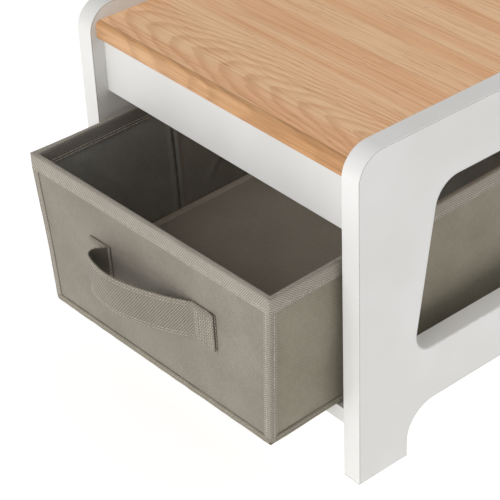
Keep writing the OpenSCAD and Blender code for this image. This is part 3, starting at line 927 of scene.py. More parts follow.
@dataclass(frozen=True)
class DrawerForm:
    """The drawer's outer form in its own frame: X and Y from its middle, Z up from its underside."""

    middle: Vector
    turn: float
    height: float
    foot_h: float
    rim_half: Vector
    foot_half: Vector
    tape: float = 0.6 * MM
    cloth: float = 0.8 * MM
    stiffener: float = 2.0 * MM
    corner_share: float = 0.07
    flare: float = 3.2 * MM
    flare_reach: float = 45 * MM

    @classmethod
    def from_frame(cls, joints: Sequence[dict]) -> DrawerForm:
        """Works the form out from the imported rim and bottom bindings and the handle's axis.

        Args:
            joints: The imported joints.

        Returns:
            The form.
        """
        axis = next(j["axis"] for j in joints if j["name"] == "handle_lift")
        turn = math.atan2(axis[1], axis[0])
        turn -= math.pi * round(turn / math.pi)
        rim_low, rim_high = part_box("rim_binding")
        foot_low, foot_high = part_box("bottom_binding")
        middle = (rim_low + rim_high) / 2
        middle.z = foot_low.z
        return cls(
            middle=middle,
            turn=turn,
            height=rim_high.z - foot_low.z,
            foot_h=foot_high.z - foot_low.z,
            rim_half=cls.unturned((rim_high - rim_low) / 2, turn),
            foot_half=cls.unturned((foot_high - foot_low) / 2, turn),
        )

    @staticmethod
    def unturned(half: Vector, turn: float) -> Vector:
        """Gives the half sizes of a block from those of the box round it when it is turned.

        Args:
            half: Half the box's sizes.
            turn: The block's turn about Z.

        Returns:
            Half the block's own sizes.
        """
        c, s = math.cos(turn), abs(math.sin(turn))
        share = c * c - s * s
        return Vector(((half.x * c - half.y * s) / share, (half.y * c - half.x * s) / share, half.z))

    def half(self, z: float) -> tuple[float, float]:
        """Gives half the width and half the depth at a height."""
        share = (z - self.foot_h) / (self.height - self.foot_h)
        size = self.foot_half.lerp(self.rim_half, share)
        return size.x, size.y

    @property
    def matrix(self) -> Matrix:
        """The drawer's frame, as a placing in the bench's."""
        return Matrix.Translation(self.middle) @ Matrix.Rotation(self.turn, 4, "Z")

    def local(self, x: float, y: float, z: float) -> Vector:
        """Gives the place in the bench of a point in the drawer's frame.

        The cloth outside the boards stands out a little at the front left end of the rim.

        Args:
            x: How far right of the drawer's middle.
            y: How far behind it.
            z: The height above the underside.

        Returns:
            The point, in the bench's frame.
        """
        across, along = self.half(z)
        outer = 1 - smooth(min(across - abs(x), along - abs(y)), 0.8 * MM, 3.2 * MM)
        near = math.exp(-math.hypot(x + across, y + along) / self.flare_reach)
        flare = self.flare * near * outer * smooth(z, 0.3 * self.height, self.height)
        return self.matrix @ Vector((x - flare, y - 0.2 * flare, z))

    def on_wall(self, wall: Wall, s: float, z: float, depth: float, trim: float) -> Vector:
        """Gives a point on a wall's layer.

        Args:
            wall: The wall.
            s: The share along the wall, anticlockwise from above.
            z: The height above the underside.
            depth: How far behind the drawer's outer face.
            trim: How far the layer stops short of the wall's two ends.

        Returns:
            The point, in the bench's frame.
        """
        across, along = self.half(z)
        if wall in (Wall.FRONT, Wall.BACK):
            x, y = (across - trim) * (2 * s - 1), -(along - depth)
        else:
            x, y = across - depth, (along - trim) * (2 * s - 1)
        if wall in (Wall.BACK, Wall.LEFT):
            x, y = -x, -y
        return self.local(x, y, z)

    def on_ring(self, share: float, z: float, depth: float, radius: float) -> Vector:
        """Gives a point on a rounded ring round the drawer.

        Args:
            share: The share of the way round, anticlockwise from the front's left end.
            z: The height above the underside.
            depth: How far behind the drawer's outer face.
            radius: The rounding of the ring's corners.

        Returns:
            The point, in the bench's frame.
        """
        across, along = (length - depth for length in self.half(z))
        side, straight, lean = self.ring_step(share)
        run, off = (across, along) if side % 2 == 0 else (along, across)
        angle = lean * math.pi / 4
        u = (run - radius) * (2 * straight - 1) + radius * math.sin(angle)
        v = off - radius * (1 - math.cos(angle))
        x, y = ((u, -v), (v, u), (-u, v), (-v, -u))[side]
        return self.local(x, y, z)

    def ring_step(self, share: float) -> tuple[int, float, float]:
        """Splits a share of the way round into a side, a place along it and a lean into its corners.

        Args:
            share: The share of the way round.

        Returns:
            The side's number, the share of its straight stretch, and the lean, -1 or 1 at mid-corner.
        """
        side = int(share * 4) % 4
        t = share * 4 - int(share * 4)
        lean = (max(t - 1 + self.corner_share, 0) - max(self.corner_share - t, 0)) / self.corner_share
        straight = min(max((t - self.corner_share) / (1 - 2 * self.corner_share), 0.0), 1.0)
        return side, straight, lean

    def ring_length(self, share: float, radius: float) -> float:
        """Gives the length round the rim up to a share of the way, for a tape's map.

        Args:
            share: The share of the way round.
            radius: The rounding of the ring's corners.

        Returns:
            The length in metres.
        """
        side, straight, lean = self.ring_step(share)
        if share >= 1:
            side = 4
        length = self.rim_half.x + self.rim_half.y
        bend = radius * math.pi / 4
        return side * length + bend * (1 + lean) + straight * (length - 2 * bend)


# The drawer's soft pieces ----------------------------------------------------


@dataclass
class DrawerShell:
    """The drawer's cloth: four outer and four inner walls, bottom, bindings, corner tapes, stitches."""

    form: DrawerForm
    finishes: Finishes
    step: float = 4 * MM
    swell: float = 0.9 * MM
    wall_low: float = 1.4 * MM
    outer_low: float = 2.4 * MM
    rim_tape_h: float = 15 * MM
    foot_turn: float = 10 * MM
    corner_tape_w: float = 7 * MM
    corner_rounding: float = 1.6 * MM
    foot_rounding: float = 7 * MM
    foot_edge: float = 4.5 * MM
    foot_bulge: float = 1.2 * MM
    rest_gap: float = 0.12 * MM
    lip: float = 0.45 * MM
    stitch_pitch: float = 3.1 * MM
    crease_depth: float = 2.1 * MM
    insert_clear_z: float = 42 * MM
    tuck: float = 1.6 * MM
    outer_crease: float = 0.5 * MM
    lining_pull: float = 1.3 * MM
    pull_width: float = 7 * MM
    slack: float = 0.25 * MM
    rim_wave: float = 0.35 * MM
    rim_ripple: float = 0.22 * MM
    corner_rise: float = 0.22 * MM
    corner_lift: float = 0.12 * MM

    @property
    def inner_depth(self) -> float:
        """How far the lining's face lies behind the drawer's outer face."""
        return self.form.tape + 2 * self.form.cloth + self.form.stiffener

    def wall_length(self, wall: Wall) -> float:
        """Gives a wall's length at the rim."""
        return 2 * (self.form.rim_half.x if wall in (Wall.FRONT, Wall.BACK) else self.form.rim_half.y)

    def billow(self, wall: Wall, u: float, z: float) -> float:
        """Gives how far a wall's cloth lies proud of its board, as a share.

        Cloth sewn along its edges lies in broad soft swells, with a few pulls that slant from the
        corners.

        Args:
            wall: The wall.
            u: The place along the wall from its middle.
            z: The height above the underside.

        Returns:
            A share from 0 to 1.
        """
        broad = noise.noise(Vector((u * 22, z * 16, 3.7 + 5 * wall)))
        small = noise.noise(Vector((u * 60 + z * 25, z * 48, 9.1 + 5 * wall)))
        return min(max(0.5 + 0.75 * broad + 0.28 * small, 0.0), 1.0)

    def crease(self, u: float) -> float:
        """Gives how far a side wall's fold draws the cloth in, as a share from -0.4 to 1."""
        width = 1.0 * MM
        groove = math.exp(-((u / width) ** 2))
        shoulder = 0.45 * math.exp(-((abs(u) - 4 * MM) ** 2) / (2.5 * MM) ** 2)
        return groove - shoulder

    def build_outer_wall(self, wall: Wall) -> None:
        """Makes one wall's outer cloth.

        Args:
            wall: The wall.
        """
        form, name = self.form, wall.name.lower()
        low, high = self.outer_low, form.height - form.tape
        length = self.wall_length(wall)
        side = wall in (Wall.LEFT, Wall.RIGHT)
        trim = form.tape + (form.cloth if side else 0)

        def place(s: float, t: float) -> Vector:
            """Puts the cloth's corners on the wall, swelled between its seams."""
            z, u = low + t * (high - low), (s - 0.5) * length
            held = inside(z, form.foot_h - 2 * MM, form.height - self.rim_tape_h + 2 * MM, 16 * MM)
            held *= inside(u, -length / 2 + 5 * MM, length / 2 - 5 * MM, 22 * MM)
            out = self.swell * held * self.billow(wall, u, z)
            if side:
                out -= self.outer_crease * self.crease(u) * inside(z, low, high, 12 * MM)
            under_tape = 1 - smooth(z, 0.6 * form.foot_h, 1.2 * form.foot_h)
            return form.on_wall(wall, s, z, form.tape - out, trim + self.tuck * under_tape)

        piece = weave(f"outer_cloth_{name}", int(length / self.step), 36, place, (length, high - low))
        thicken(piece, form.cloth)
        # The side walls take the cloth copy whose colour carries painted light.
        dress(piece, self.finishes.side_cloth if side else self.finishes.cloth, 60)
        self.hand_in(piece, [f"drawer_cloth_{name}"], Slot.CLOTH)

    def build_lining(self, wall: Wall) -> None:
        """Makes one wall's lining, with the fold's groove in the side walls.

        Args:
            wall: The wall.
        """
        form, name = self.form, wall.name.lower()
        low, high = self.wall_low, form.height - form.tape
        length = self.wall_length(wall) - 2 * self.inner_depth
        side = wall in (Wall.LEFT, Wall.RIGHT)

        def along(s: float) -> float:
            """Gives the share along the wall, with the sheet's columns closest at the fold."""
            q = 2 * s - 1
            return 0.5 + 0.5 * math.copysign(abs(q) ** 1.7, q) if side else s

        def place(s: float, t: float) -> Vector:
            """Puts the lining's corners on the wall's inner face."""
            s = along(s)
            z, u = low + t * (high - low), (0.5 - s) * length
            free = smooth(z, 0.75 * self.insert_clear_z, 1.6 * self.insert_clear_z)
            free *= 1 - smooth(z, high - 26 * MM, high - self.rim_tape_h)
            held = inside(u, -length / 2, length / 2, 18 * MM)
            out = self.swell * free * held * self.billow(wall, -u, z)
            if side:
                pull = 1 - abs(abs(u) - (z - low) * 0.8) / self.pull_width
                out += self.lining_pull * smooth(pull, 0.0, 1.0) * free * held
                out -= self.crease_depth * self.crease(u) * smooth(z, low, low + 10 * MM)
            depth = self.inner_depth + max(out, -self.crease_depth)
            return form.on_wall(wall, 1 - s, z, depth, self.inner_depth)

        piece = weave(
            f"inner_lining_{name}", int(length / self.step * 1.6), 36, place,
            lambda s, t: (along(s) * length, t * (high - low)),
        )
        thicken(piece, 0.7 * form.cloth)
        dress(piece, self.finishes.lining, 60)
        self.hand_in(piece, [f"lining_{name}"], Slot.LINING)

    def build_bottom(self) -> None:
        """Makes the bottom cloth, which hangs a little slack between its bindings."""
        form = self.form
        across, along = (length - form.tape for length in form.half(0))

        def place(s: float, t: float) -> Vector:
            """Puts the cloth's corners, its face downwards."""
            x, y = across * (2 * s - 1), along * (1 - 2 * t)
            slack = self.slack * noise.noise(Vector((x * 20, y * 20, 31.0)))
            slack *= inside(s, 0, 1, 0.1) * inside(t, 0, 1, 0.1)
            return form.local(x, y, form.tape + 0.1 * MM + slack)

        size = (2 * across, 2 * along)
        piece = weave("underside_cloth", 60, 60, place, size)
        thicken(piece, 0.8 * form.cloth)
        dress(piece, self.finishes.cloth, 60)
        self.hand_in(piece, ["bottom_cloth"], Slot.CLOTH)

    def rim_profile(self, t: float) -> tuple[float, float]:
        """Gives the rim tape's section.

        Args:
            t: The share of the way from its outer lower edge over the rim to the inner one.

        Returns:
            The depth behind the drawer's face and the height.
        """
        top, low = self.form.height, self.form.height - self.rim_tape_h
        thick = self.inner_depth + self.form.tape
        bend = 0.16
        if t < 0.5 - bend:
            share = t / (0.5 - bend)
            puff = self.lip * (1 - smooth(share, 0.0, 0.16) + 0.55 * math.sin(math.pi * share))
            return -puff, low + share * (top - thick / 2 - low)
        if t > 0.5 + bend:
            share = (1 - t) / (0.5 - bend)
            puff = self.lip * (1 - smooth(share, 0.0, 0.16) + 0.5 * math.sin(math.pi * share))
            return thick + puff, low + share * (top - thick / 2 - low)
        angle = (t - 0.5) / bend * math.pi / 2
        return thick / 2 * (1 + math.sin(angle)), top - thick / 2 * (1 - math.cos(angle))

    def rim_point(self, share: float, t: float) -> Vector:
        """Gives a point on the rim tape, with its slight waves."""
        depth, z = self.rim_profile(t)
        z += self.rim_wave * ripple(share, 9, 1.3)
        outer = 1 - smooth(depth, 0, self.inner_depth)
        radius = self.corner_rounding * outer + 0.7 * MM
        depth -= self.rim_ripple * ripple(share, 40, t * 2) * (2 * outer - 1)
        return self.form.on_ring(share, z, depth, radius)

    def build_rim(self) -> None:
        """Makes the tape folded over the rim, and its stitches outside and inside."""
        length = 4 * (self.form.rim_half.x + self.form.rim_half.y)
        girth = 2 * self.rim_tape_h + self.inner_depth
        piece = weave(
            "rim_tape", 320, 26, self.rim_point,
            lambda s, t: (self.form.ring_length(s, self.corner_rounding), t * girth),
        )
        close_ring(piece)
        thicken(piece, self.form.tape)
        dress(piece, self.finishes.rim, 60)
        rows = {"outer_low": 0.036, "outer_high": 0.1, "inner_low": 0.964, "inner_high": 0.9}
        for label, seam in rows.items():
            self.sew_round(f"rim_stitches_{label}", self.rim_point, seam, length)
        self.hand_in(piece, ["rim_binding"], Slot.TAPE)

    def sew_round(self, name: str, point: Place, seam: float, length: float) -> bpy.types.Object:
        """Sews a line of stitches right round a tape.

        Args:
            name: The seam's name.
            point: The tape's surface, by share of the way round and share of its girth.
            seam: The share of the girth where the seam lies.
            length: The way round.

        Returns:
            The seam.
        """
        places = []
        count = int(length / self.stitch_pitch)
        done, share, steps = 0.0, 0.0, 2400
        for step in range(steps + 1):
            share = step / steps
            if self.form.ring_length(share, self.corner_rounding) < done or share >= 1:
                continue
            here = point(share, seam)
            along = point(min(share + 0.0008, 0.9999), seam) - point(max(share - 0.0008, 0), seam)
            across = point(share, min(seam + 0.01, 1)) - point(share, max(seam - 0.01, 0))
            places.append(Stitch(here, along, along.cross(across).normalized()))
            done += length / count
        return ready(sew(name, places, self.finishes.thread), Body.DRAWER, Slot.TAPE)

    def build_corners(self) -> None:
        """Makes the tape folded round each upright corner, with a row of stitches on each leg."""
        form = self.form
        low, high = form.foot_h - MM, form.height - self.rim_tape_h + 1.5 * MM
        reach = self.corner_tape_w
        for corner, (right, back) in enumerate(((False, False), (True, False), (True, True), (False, True))):
            sign_x, sign_y = (1 if right else -1), (1 if back else -1)
            flip = sign_x * sign_y < 0

            def place(
                s: float, t: float, sign_x: int = sign_x, sign_y: int = sign_y, flip: bool = flip
            ) -> Vector:
                """Puts the tape's corners round the drawer's upright corner."""
                z = low + t * (high - low)
                across, along = form.half(z)
                v = (2 * s - 1) * (-1 if flip else 1)
                run = reach * v
                rise = self.corner_rise * math.cos(math.pi / 2 * min(abs(v) * 1.15, 1)) + self.corner_lift
                rise += self.corner_lift * noise.noise(Vector((z * 90, v * 2, corner * 4.0)))
                bend = self.corner_rounding
                angle = min(max(run / bend, -math.pi / 4), math.pi / 4)
                rest = run - angle * bend
                lean = angle + math.pi / 4
                x = across - bend + (bend + rise) * math.sin(lean) + (rest if rest < 0 else 0)
                y = along - bend + (bend + rise) * math.cos(lean) - (rest if rest > 0 else 0)
                return form.local(sign_x * x, sign_y * y, z)

            label = f"{'rear' if back else 'front'}_{'right' if right else 'left'}"
            size = (2 * reach, high - low)
            piece = weave(f"corner_tape_{label}", 18, 34, place, size)
            if self.faces_in(piece):
                piece.data.flip_normals()
            thicken(piece, 0.8 * form.tape)
            dress(piece, self.finishes.tape, 60)
            for leg, share in (("front", 0.22), ("side", 0.78)):
                stitches = []
                count = int((high - low) / self.stitch_pitch)
                for number in range(count):
                    t = (number + 0.5) / count
                    up = place(share, min(t + 0.01, 1)) - place(share, max(t - 0.01, 0))
                    over = place(share + 0.02, t) - place(share - 0.02, t)
                    out = over.cross(up).normalized()
                    if out.dot(place(share, t) - form.local(0, 0, 0)) < 0:
                        out.negate()
                    stitches.append(Stitch(place(share, t), up, out))
                seam = sew(f"corner_stitches_{label}_{leg}", stitches, self.finishes.thread)
                ready(seam, Body.DRAWER, Slot.TAPE)
            self.hand_in(piece, [f"corner_seam_{label}"], Slot.TAPE)

    def faces_in(self, piece: bpy.types.Object) -> bool:
        """Says whether a piece's first faces look towards the drawer's middle."""
        face = piece.data.polygons[len(piece.data.polygons) // 2]
        return face.normal.dot(face.center - self.form.local(0, 0, face.center.z - self.form.middle.z)) < 0

    def foot_point(self, share: float, t: float) -> Vector:
        """Gives a point on the bottom tape, from its turned-under edge (0) to its upper edge (1)."""
        form, edge = self.form, self.foot_edge
        bulge = self.foot_bulge
        flat, arc, rise = self.foot_turn - edge + bulge, edge * math.pi / 2, form.foot_h - edge
        way = t * (flat + arc + rise)
        if way < flat:
            depth, z = self.foot_turn - way, 0.0
        elif way < flat + arc:
            angle = (way - flat) / edge
            depth, z = edge * (1 - math.sin(angle)) - bulge, edge * (1 - math.cos(angle))
        else:
            up = (way - flat - arc) / rise
            depth, z = -bulge * (1 - smooth(up, 0.0, 1.0)), edge + rise * up
        z += self.rest_gap * (1 - smooth(z, 0, edge))
        depth -= self.lip * (0.3 + 0.9 * ripple(share, 14, 7.7)) * (1 - smooth(depth, 0, edge))
        low = 1 - smooth(z, 0.5 * form.foot_h, form.foot_h)
        radius = self.corner_rounding + MM + (self.foot_rounding - self.corner_rounding - MM) * low
        return form.on_ring(share, z, depth, radius)

    def build_foot(self) -> None:
        """Makes the tape round the bottom edge, with its stitches."""
        length = 4 * (self.form.rim_half.x + self.form.rim_half.y) - 8 * self.foot_turn
        girth = self.foot_turn + self.form.foot_h - 0.43 * self.foot_edge
        piece = weave(
            "foot_tape", 320, 16, self.foot_point,
            lambda s, t: (self.form.ring_length(s, self.foot_rounding), t * girth),
        )
        close_ring(piece)
        thicken(piece, self.form.tape)
        # The bottom tape's cloth carries painted shade.
        dress(piece, self.finishes.foot, 60)
        seam = self.sew_round("foot_stitches", self.foot_point, 0.9, length)
        self.hand_in(piece, ["bottom_binding"], Slot.TAPE)

    def hand_in(
        self,
        piece: bpy.types.Object,
        nodes: Sequence[str],
        slot: Slot,
    ) -> None:
        """Puts a sheet on the drawer's body and hides the CAD nodes it stands for.

        Args:
            piece: The sheet.
            nodes: The CAD nodes it stands for.
            slot: The record's slot.
        """
        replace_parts(ready(piece, Body.DRAWER, slot), *nodes)
        core = "stiffener_front" if "front" in piece.name else "stiffener_back"

    def build(self) -> None:
        """Makes every piece of the shell."""
        for wall in Wall:
            self.build_outer_wall(wall)
            self.build_lining(wall)
        self.build_bottom()
        self.build_rim()
        self.build_corners()
        self.build_foot()


# The handle --------------------------------------------------------------------


@dataclass
class Handle:
    """The strap sewn to the drawer's front: two box-stitched patches and a bow between them."""

    form: DrawerForm
    finishes: Finishes
    low: float
    height: float
    length: float = 155 * MM
    patch: float = 26 * MM
    bow: float = 25 * MM
    thickness: float = 2 * MM
    shift: float = 3.6 * MM
    shown_thickness: float = 1.3 * MM
    edge: float = 0.35 * MM
    stitch_inset: float = 1.5 * MM
    stitch_gap: float = 2.6 * MM
    bend_reach: float = 8 * MM
    arc_steps: int = 26

    @property
    def root(self) -> float:
        """Half the distance between the two patches."""
        return self.length / 2 - self.patch

    def on_front(self, u: float, out: float, z: float) -> Vector:
        """Gives a point in front of the drawer's front wall.

        Args:
            u: How far right of the handle's middle.
            out: How far in front of the wall.
            z: The height above the drawer's underside.

        Returns:
            The point, in the bench's frame.
        """
        return self.form.local(self.shift + u, -(self.form.half(z)[1] + out), z)

    def line(self) -> list[Vector]:
        """Gives the bow's inner face as seen from above, from the left patch to the right one.

        Returns:
            Points with X along the wall and Y out from it.
        """
        start, peak = Vector((-self.root, 0)), Vector((-self.root + 15 * MM, self.bow - self.thickness))
        near = (start, start + Vector((-5, 9)) * MM, peak + Vector((-33, -4)) * MM, peak)
        far = (peak, peak + Vector((23, 4.5)) * MM, peak + Vector((54, -6.5)) * MM, Vector((self.root, 0)))
        points = []
        for curve in (near, far):
            for step in range(self.arc_steps + (curve is far)):
                t = step / self.arc_steps
                weights = ((1 - t) ** 3, 3 * t * (1 - t) ** 2, 3 * t * t * (1 - t), t**3)
                points.append(sum((w * p for w, p in zip(weights, curve)), Vector((0, 0))))
        return points

    def outer_line(self) -> list[tuple[Vector, Vector]]:
        """Gives the bow's outer face: its points and the way each faces."""
        inner = self.line()
        found = []
        for i, point in enumerate(inner):
            way = (inner[min(i + 1, len(inner) - 1)] - inner[max(i - 1, 0)]).normalized()
            out = Vector((-way.y, way.x))
            found.append((point + out * self.thickness, out))
        return found

    def build_strap(self) -> None:
        """Makes the bow as one band with its rows of stitches."""
        line = self.outer_line()
        tail = [(line[-1][0] + Vector((step * MM, 0)), Vector((0, 1))) for step in (2, 4)]
        line = line + tail
        lengths = [0.0]
        for (a, _), (b, _) in zip(line, line[1:]):
            lengths.append(lengths[-1] + (b - a).length)

        def place(s: float, t: float) -> Vector:
            """Puts the band's corners on its outer face, slightly crowned and waved across its height."""
            index = s * (len(line) - 1)
            i = min(int(index), len(line) - 2)
            share = index - i
            (a, out_a), (b, out_b) = line[i], line[i + 1]
            flat, out = a.lerp(b, share), out_a.lerp(out_b, share).normalized()
            free = smooth(flat.y, 2 * MM, 12 * MM)
            crown = 0.5 * MM * (1 - (2 * t - 1) ** 2) * free
            crown += 0.25 * MM * noise.noise(Vector((flat.x * 70, t * 2.2, 5.5))) * free
            flat = flat + out * crown
            z = self.low + t * self.height + 0.4 * MM * free * math.sin(s * 5.0)
            return self.on_front(flat.x, flat.y, z)

        def measure(s: float, t: float) -> tuple[float, float]:
            """Maps the band by its length."""
            index = s * (len(line) - 1)
            i = min(int(index), len(line) - 2)
            return lengths[i] + (index - i) * (lengths[i + 1] - lengths[i]), t * self.height

        strap = weave("handle_band", len(line) - 1, 14, place, measure)
        thicken(strap, self.shown_thickness, self.edge)
        dress(strap, self.finishes.strap, 50)
        self.paint_back_shade(strap, line)
        seams = []
        insets = (self.stitch_inset, self.stitch_inset + self.stitch_gap)
        for name, across in (("low", insets), ("high", [self.height - inset for inset in insets])):
            rows = []
            for inset in across:
                rows += self.strap_stitches(place, lengths, inset / self.height)
            label = f"handle_stitches_{name}"
            seams.append(sew(label, rows, self.finishes.thread, 3.3 * MM, 0.6 * MM, 0.45 * MM))
        start, end = self.on_front(0, 0, self.low), self.on_front(0, self.bend_reach, self.low)
        for piece in (strap, *seams):
            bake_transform(piece)
            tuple(start)
            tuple(end)
            LOG.info("%s built, %d faces", piece.name, len(piece.data.polygons))
        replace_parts(strap, "handle_strap")

    def paint_back_shade(self, strap: bpy.types.Object, line: Sequence[tuple[Vector, Vector]]) -> None:
        """Gives the band's inner face a darker copy of its cloth, as painted shade inside the bow.

        Args:
            strap: The band.
            line: Its outer face's points and the way each faces.
        """
        # Painted shade: faces that look back into the bow take the darker cloth.
        strap.data.materials.append(self.finishes.strap_back)
        unplaced = self.form.matrix.inverted()
        for face in strap.data.polygons:
            spot = unplaced @ face.center
            way = unplaced.to_3x3() @ face.normal
            flat = Vector((spot.x - self.shift, -spot.y - self.form.half(spot.z)[1]))
            _, out = min(line, key=lambda station: (station[0] - flat).length)
            if way.x * out.x - way.y * out.y < -0.5:
                face.material_index = 1

    def strap_stitches(self, place: Place, lengths: Sequence[float], t: float) -> list[Stitch]:
        """Lays a row of stitches along the band.

        Args:
            place: The band's surface.
            lengths: The length up to each of its stations.
            t: The share of its height where the row lies.

        Returns:
            The stitches.
        """
        pitch, found = 4.1 * MM, []
        count = int((lengths[-1] - 8 * MM) / pitch)
        for number in range(count):
            s = float(np.interp(3 * MM + number * pitch, lengths, np.linspace(0, 1, len(lengths))))
            along = place(min(s + 0.004, 1), t) - place(max(s - 0.004, 0), t)
            across = place(s, min(t + 0.02, 1)) - place(s, max(t - 0.02, 0))
            found.append(Stitch(place(s, t), along, along.cross(across).normalized()))
        return found

    def patch_top(self, left: float, u: float, v: float, lift: float) -> Vector:
        """Gives a point on a patch's face, quilted by its stitches.

        Args:
            left: The patch's left end.
            u: The place along it.
            v: The height above its lower edge.
            lift: How far its outer end stands away.

        Returns:
            The point.
        """
        edge_u = inside(u, 0, self.patch, 2.2 * MM)
        edge_v = inside(v, 0, self.height, 2.2 * MM)
        quilt = 0.22 * MM * math.cos(u / self.patch * 8 * math.pi) * edge_u * edge_v
        out = self.thickness * (0.62 + 0.38 * min(edge_u, edge_v)) + quilt
        rise = lift * smooth(u, self.patch - 7 * MM, self.patch) if lift > 0 else 0.0
        return self.on_front(left + u, out + rise, self.low + v)

    def build_patch(self, right: bool) -> None:
        """Makes one sewn patch with its rows of box stitches; the right one's end stands away.

        Args:
            right: Whether it is the right patch.
        """
        left = self.root if right else -self.length / 2
        lift = 1.5 * MM if right else 0.0
        label = "right" if right else "left"

        def place(s: float, t: float) -> Vector:
            """Puts the patch's corners on its face."""
            return self.patch_top(left, s * self.patch, t * self.height, lift)

        piece = weave(f"handle_end_{label}", 30, 36, place, (self.patch, self.height))
        thicken(piece, (0.6 if right else 0.62) * self.thickness, 0.35 * MM)
        dress(piece, self.finishes.strap, 55)
        rows: list[Stitch] = []
        for row in range(1, 9):
            u = row * self.patch / 9
            count = int((self.height - 5 * MM) / (2.6 * MM))
            for number in range(count):
                v = 3 * MM + number * 2.6 * MM + (row % 2) * 1.3 * MM
                here = self.patch_top(left, u, v, lift)
                up = self.patch_top(left, u, v + 0.5 * MM, lift) - here
                over = self.patch_top(left, u + 0.5 * MM, v, lift) - here
                rows.append(Stitch(here, up, over.cross(up).normalized()))
        seam = sew(f"handle_end_stitches_{label}", rows, self.finishes.thread, 1.7 * MM, 0.8 * MM, 0.5 * MM)
        pieces = [seam]
        if right:
            pieces.append(self.build_tuck(left))
        for part in (piece, *pieces):
            ready(part, Body.DRAWER, Slot.STRAP)
        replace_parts(piece, f"handle_patch_{label}")

    def build_tuck(self, left: float) -> bpy.types.Object:
        """Makes the strap's raw end, turned in under the right patch and showing at its edge.

        Args:
            left: The patch's left end.

        Returns:
            The tuck.
        """

        def place(s: float, t: float) -> Vector:
            """Puts the tuck's corners flat on the drawer's cloth."""
            u = left + self.patch - 9 * MM + s * 9.6 * MM
            out = 0.75 * MM + 0.25 * MM * smooth(s, 0.5, 1.0)
            return self.on_front(u, out, self.low + 1 * MM + t * (self.height - 2 * MM))

        tuck = weave("handle_end_tuck", 10, 16, place, (9.6 * MM, self.height - 2 * MM))
        thicken(tuck, 0.6 * MM, 0.2 * MM)
        dress(tuck, self.finishes.strap, 55)
        return tuck

    def build(self) -> None:
        """Makes the band and both patches."""
        self.build_strap()
        self.build_patch(False)
        self.build_patch(True)


# The base insert ------------------------------------------------------------------


@dataclass
class Insert:
    """The loose base: a board in a sewn cover with a stitched border."""

    form: DrawerForm
    finishes: Finishes
    border: float = 8 * MM
    rounding: float = 1.6 * MM
    crown: float = 0.5 * MM

    def build(self) -> None:
        """Makes the cover from a block at the node's place, and sews its border."""
        low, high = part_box("base_cover")
        half = DrawerForm.unturned((high - low) / 2, self.form.turn)
        middle = self.form.matrix.inverted() @ ((low + high) / 2)
        deselect()
        bpy.ops.mesh.primitive_cube_add(size=2, location=middle, scale=half)
        cover = bpy.context.object
        cover.name = cover.data.name = "insert_cover"
        settle(cover)
        with editing(cover):
            bpy.ops.mesh.bevel(offset=self.rounding, segments=4)
            bpy.ops.mesh.select_all(action="DESELECT")
            work = bmesh.from_edit_mesh(cover.data)
            for face in work.faces:
                face.select_set(abs(face.normal.z) > 0.99 and face.calc_area() > half.x * half.y)
            bmesh.update_edit_mesh(cover.data)
            bpy.ops.mesh.inset(thickness=self.border - self.rounding)
            bpy.ops.mesh.inset(thickness=0.8 * MM)
        top = middle.z + half.z
        with editing(cover):
            bpy.ops.mesh.quads_convert_to_tris()
            bpy.ops.mesh.subdivide(number_cuts=3)
        for vertex in cover.data.vertices:
            co = vertex.co
            edge = min(half.x - abs(co.x - middle.x), half.y - abs(co.y - middle.y))
            if co.z > top - 0.2 * MM:
                groove = math.exp(-(((edge - self.border) / (1.3 * MM)) ** 2))
                co.z -= 0.35 * MM * groove
        mesh = cover.data
        uv = mesh.uv_layers.get(UV_NAME) or mesh.uv_layers.new(name=UV_NAME)
        for loop in mesh.loops:
            co = mesh.vertices[loop.vertex_index].co
            uv.data[loop.index].uv = (co.x, co.y)
        mesh.transform(self.form.matrix)
        dress(cover, self.finishes.insert, 40)
        cover.data.materials.append(self.finishes.insert_border)
        unplaced = self.form.matrix.inverted()
        for face in cover.data.polygons:
            spot = unplaced @ face.center
            edge = min(half.x - abs(spot.x - middle.x), half.y - abs(spot.y - middle.y))
            if edge < self.border and spot.z > top - self.rounding:
                face.material_index = 1
        seams = [self.sew_border(middle, half, top)]
        for piece in (cover, *seams):
            ready(piece, Body.INSERT, Slot.LINING)
        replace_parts(cover, "base_cover")

    def sew_border(self, middle: Vector, half: Vector, top: float) -> bpy.types.Object:
        """Sews a line of stitches inside the cover's edge.

        Args:
            middle: The cover's middle in the drawer's frame.
            half: Half its sizes.
            top: Its top.

        Returns:
            The seam.
        """
        a, b = half.x - self.border, half.y - self.border
        corners = [(-a, -b), (a, -b), (a, b), (-a, b)]
        stitches = []
        up = Vector((0, 0, 1))
        for (x0, y0), (x1, y1) in zip(corners, corners[1:] + corners[:1]):
            way = Vector((x1 - x0, y1 - y0, 0))
            count = int(way.length / (3.4 * MM))
            for number in range(count):
                share = (number + 0.5) / count
                x, y = middle.x + x0 + way.x * share, middle.y + y0 + way.y * share
                along = self.form.matrix.to_3x3() @ way.normalized()
                stitches.append(Stitch(self.form.local(x, y, top - 0.3 * MM), along, up))
        return sew("insert_stitches", stitches, self.finishes.thread)


# Studio -------------------------------------------------------------------------------


@dataclass(frozen=True)
class Lamp:
    """A soft square lamp that faces the bench."""

    name: str
    azimuth: float
    elevation: float
    distance: float
    size: float
    power: float
    colour: tuple[float, float, float] = (1.0, 1.0, 1.0)


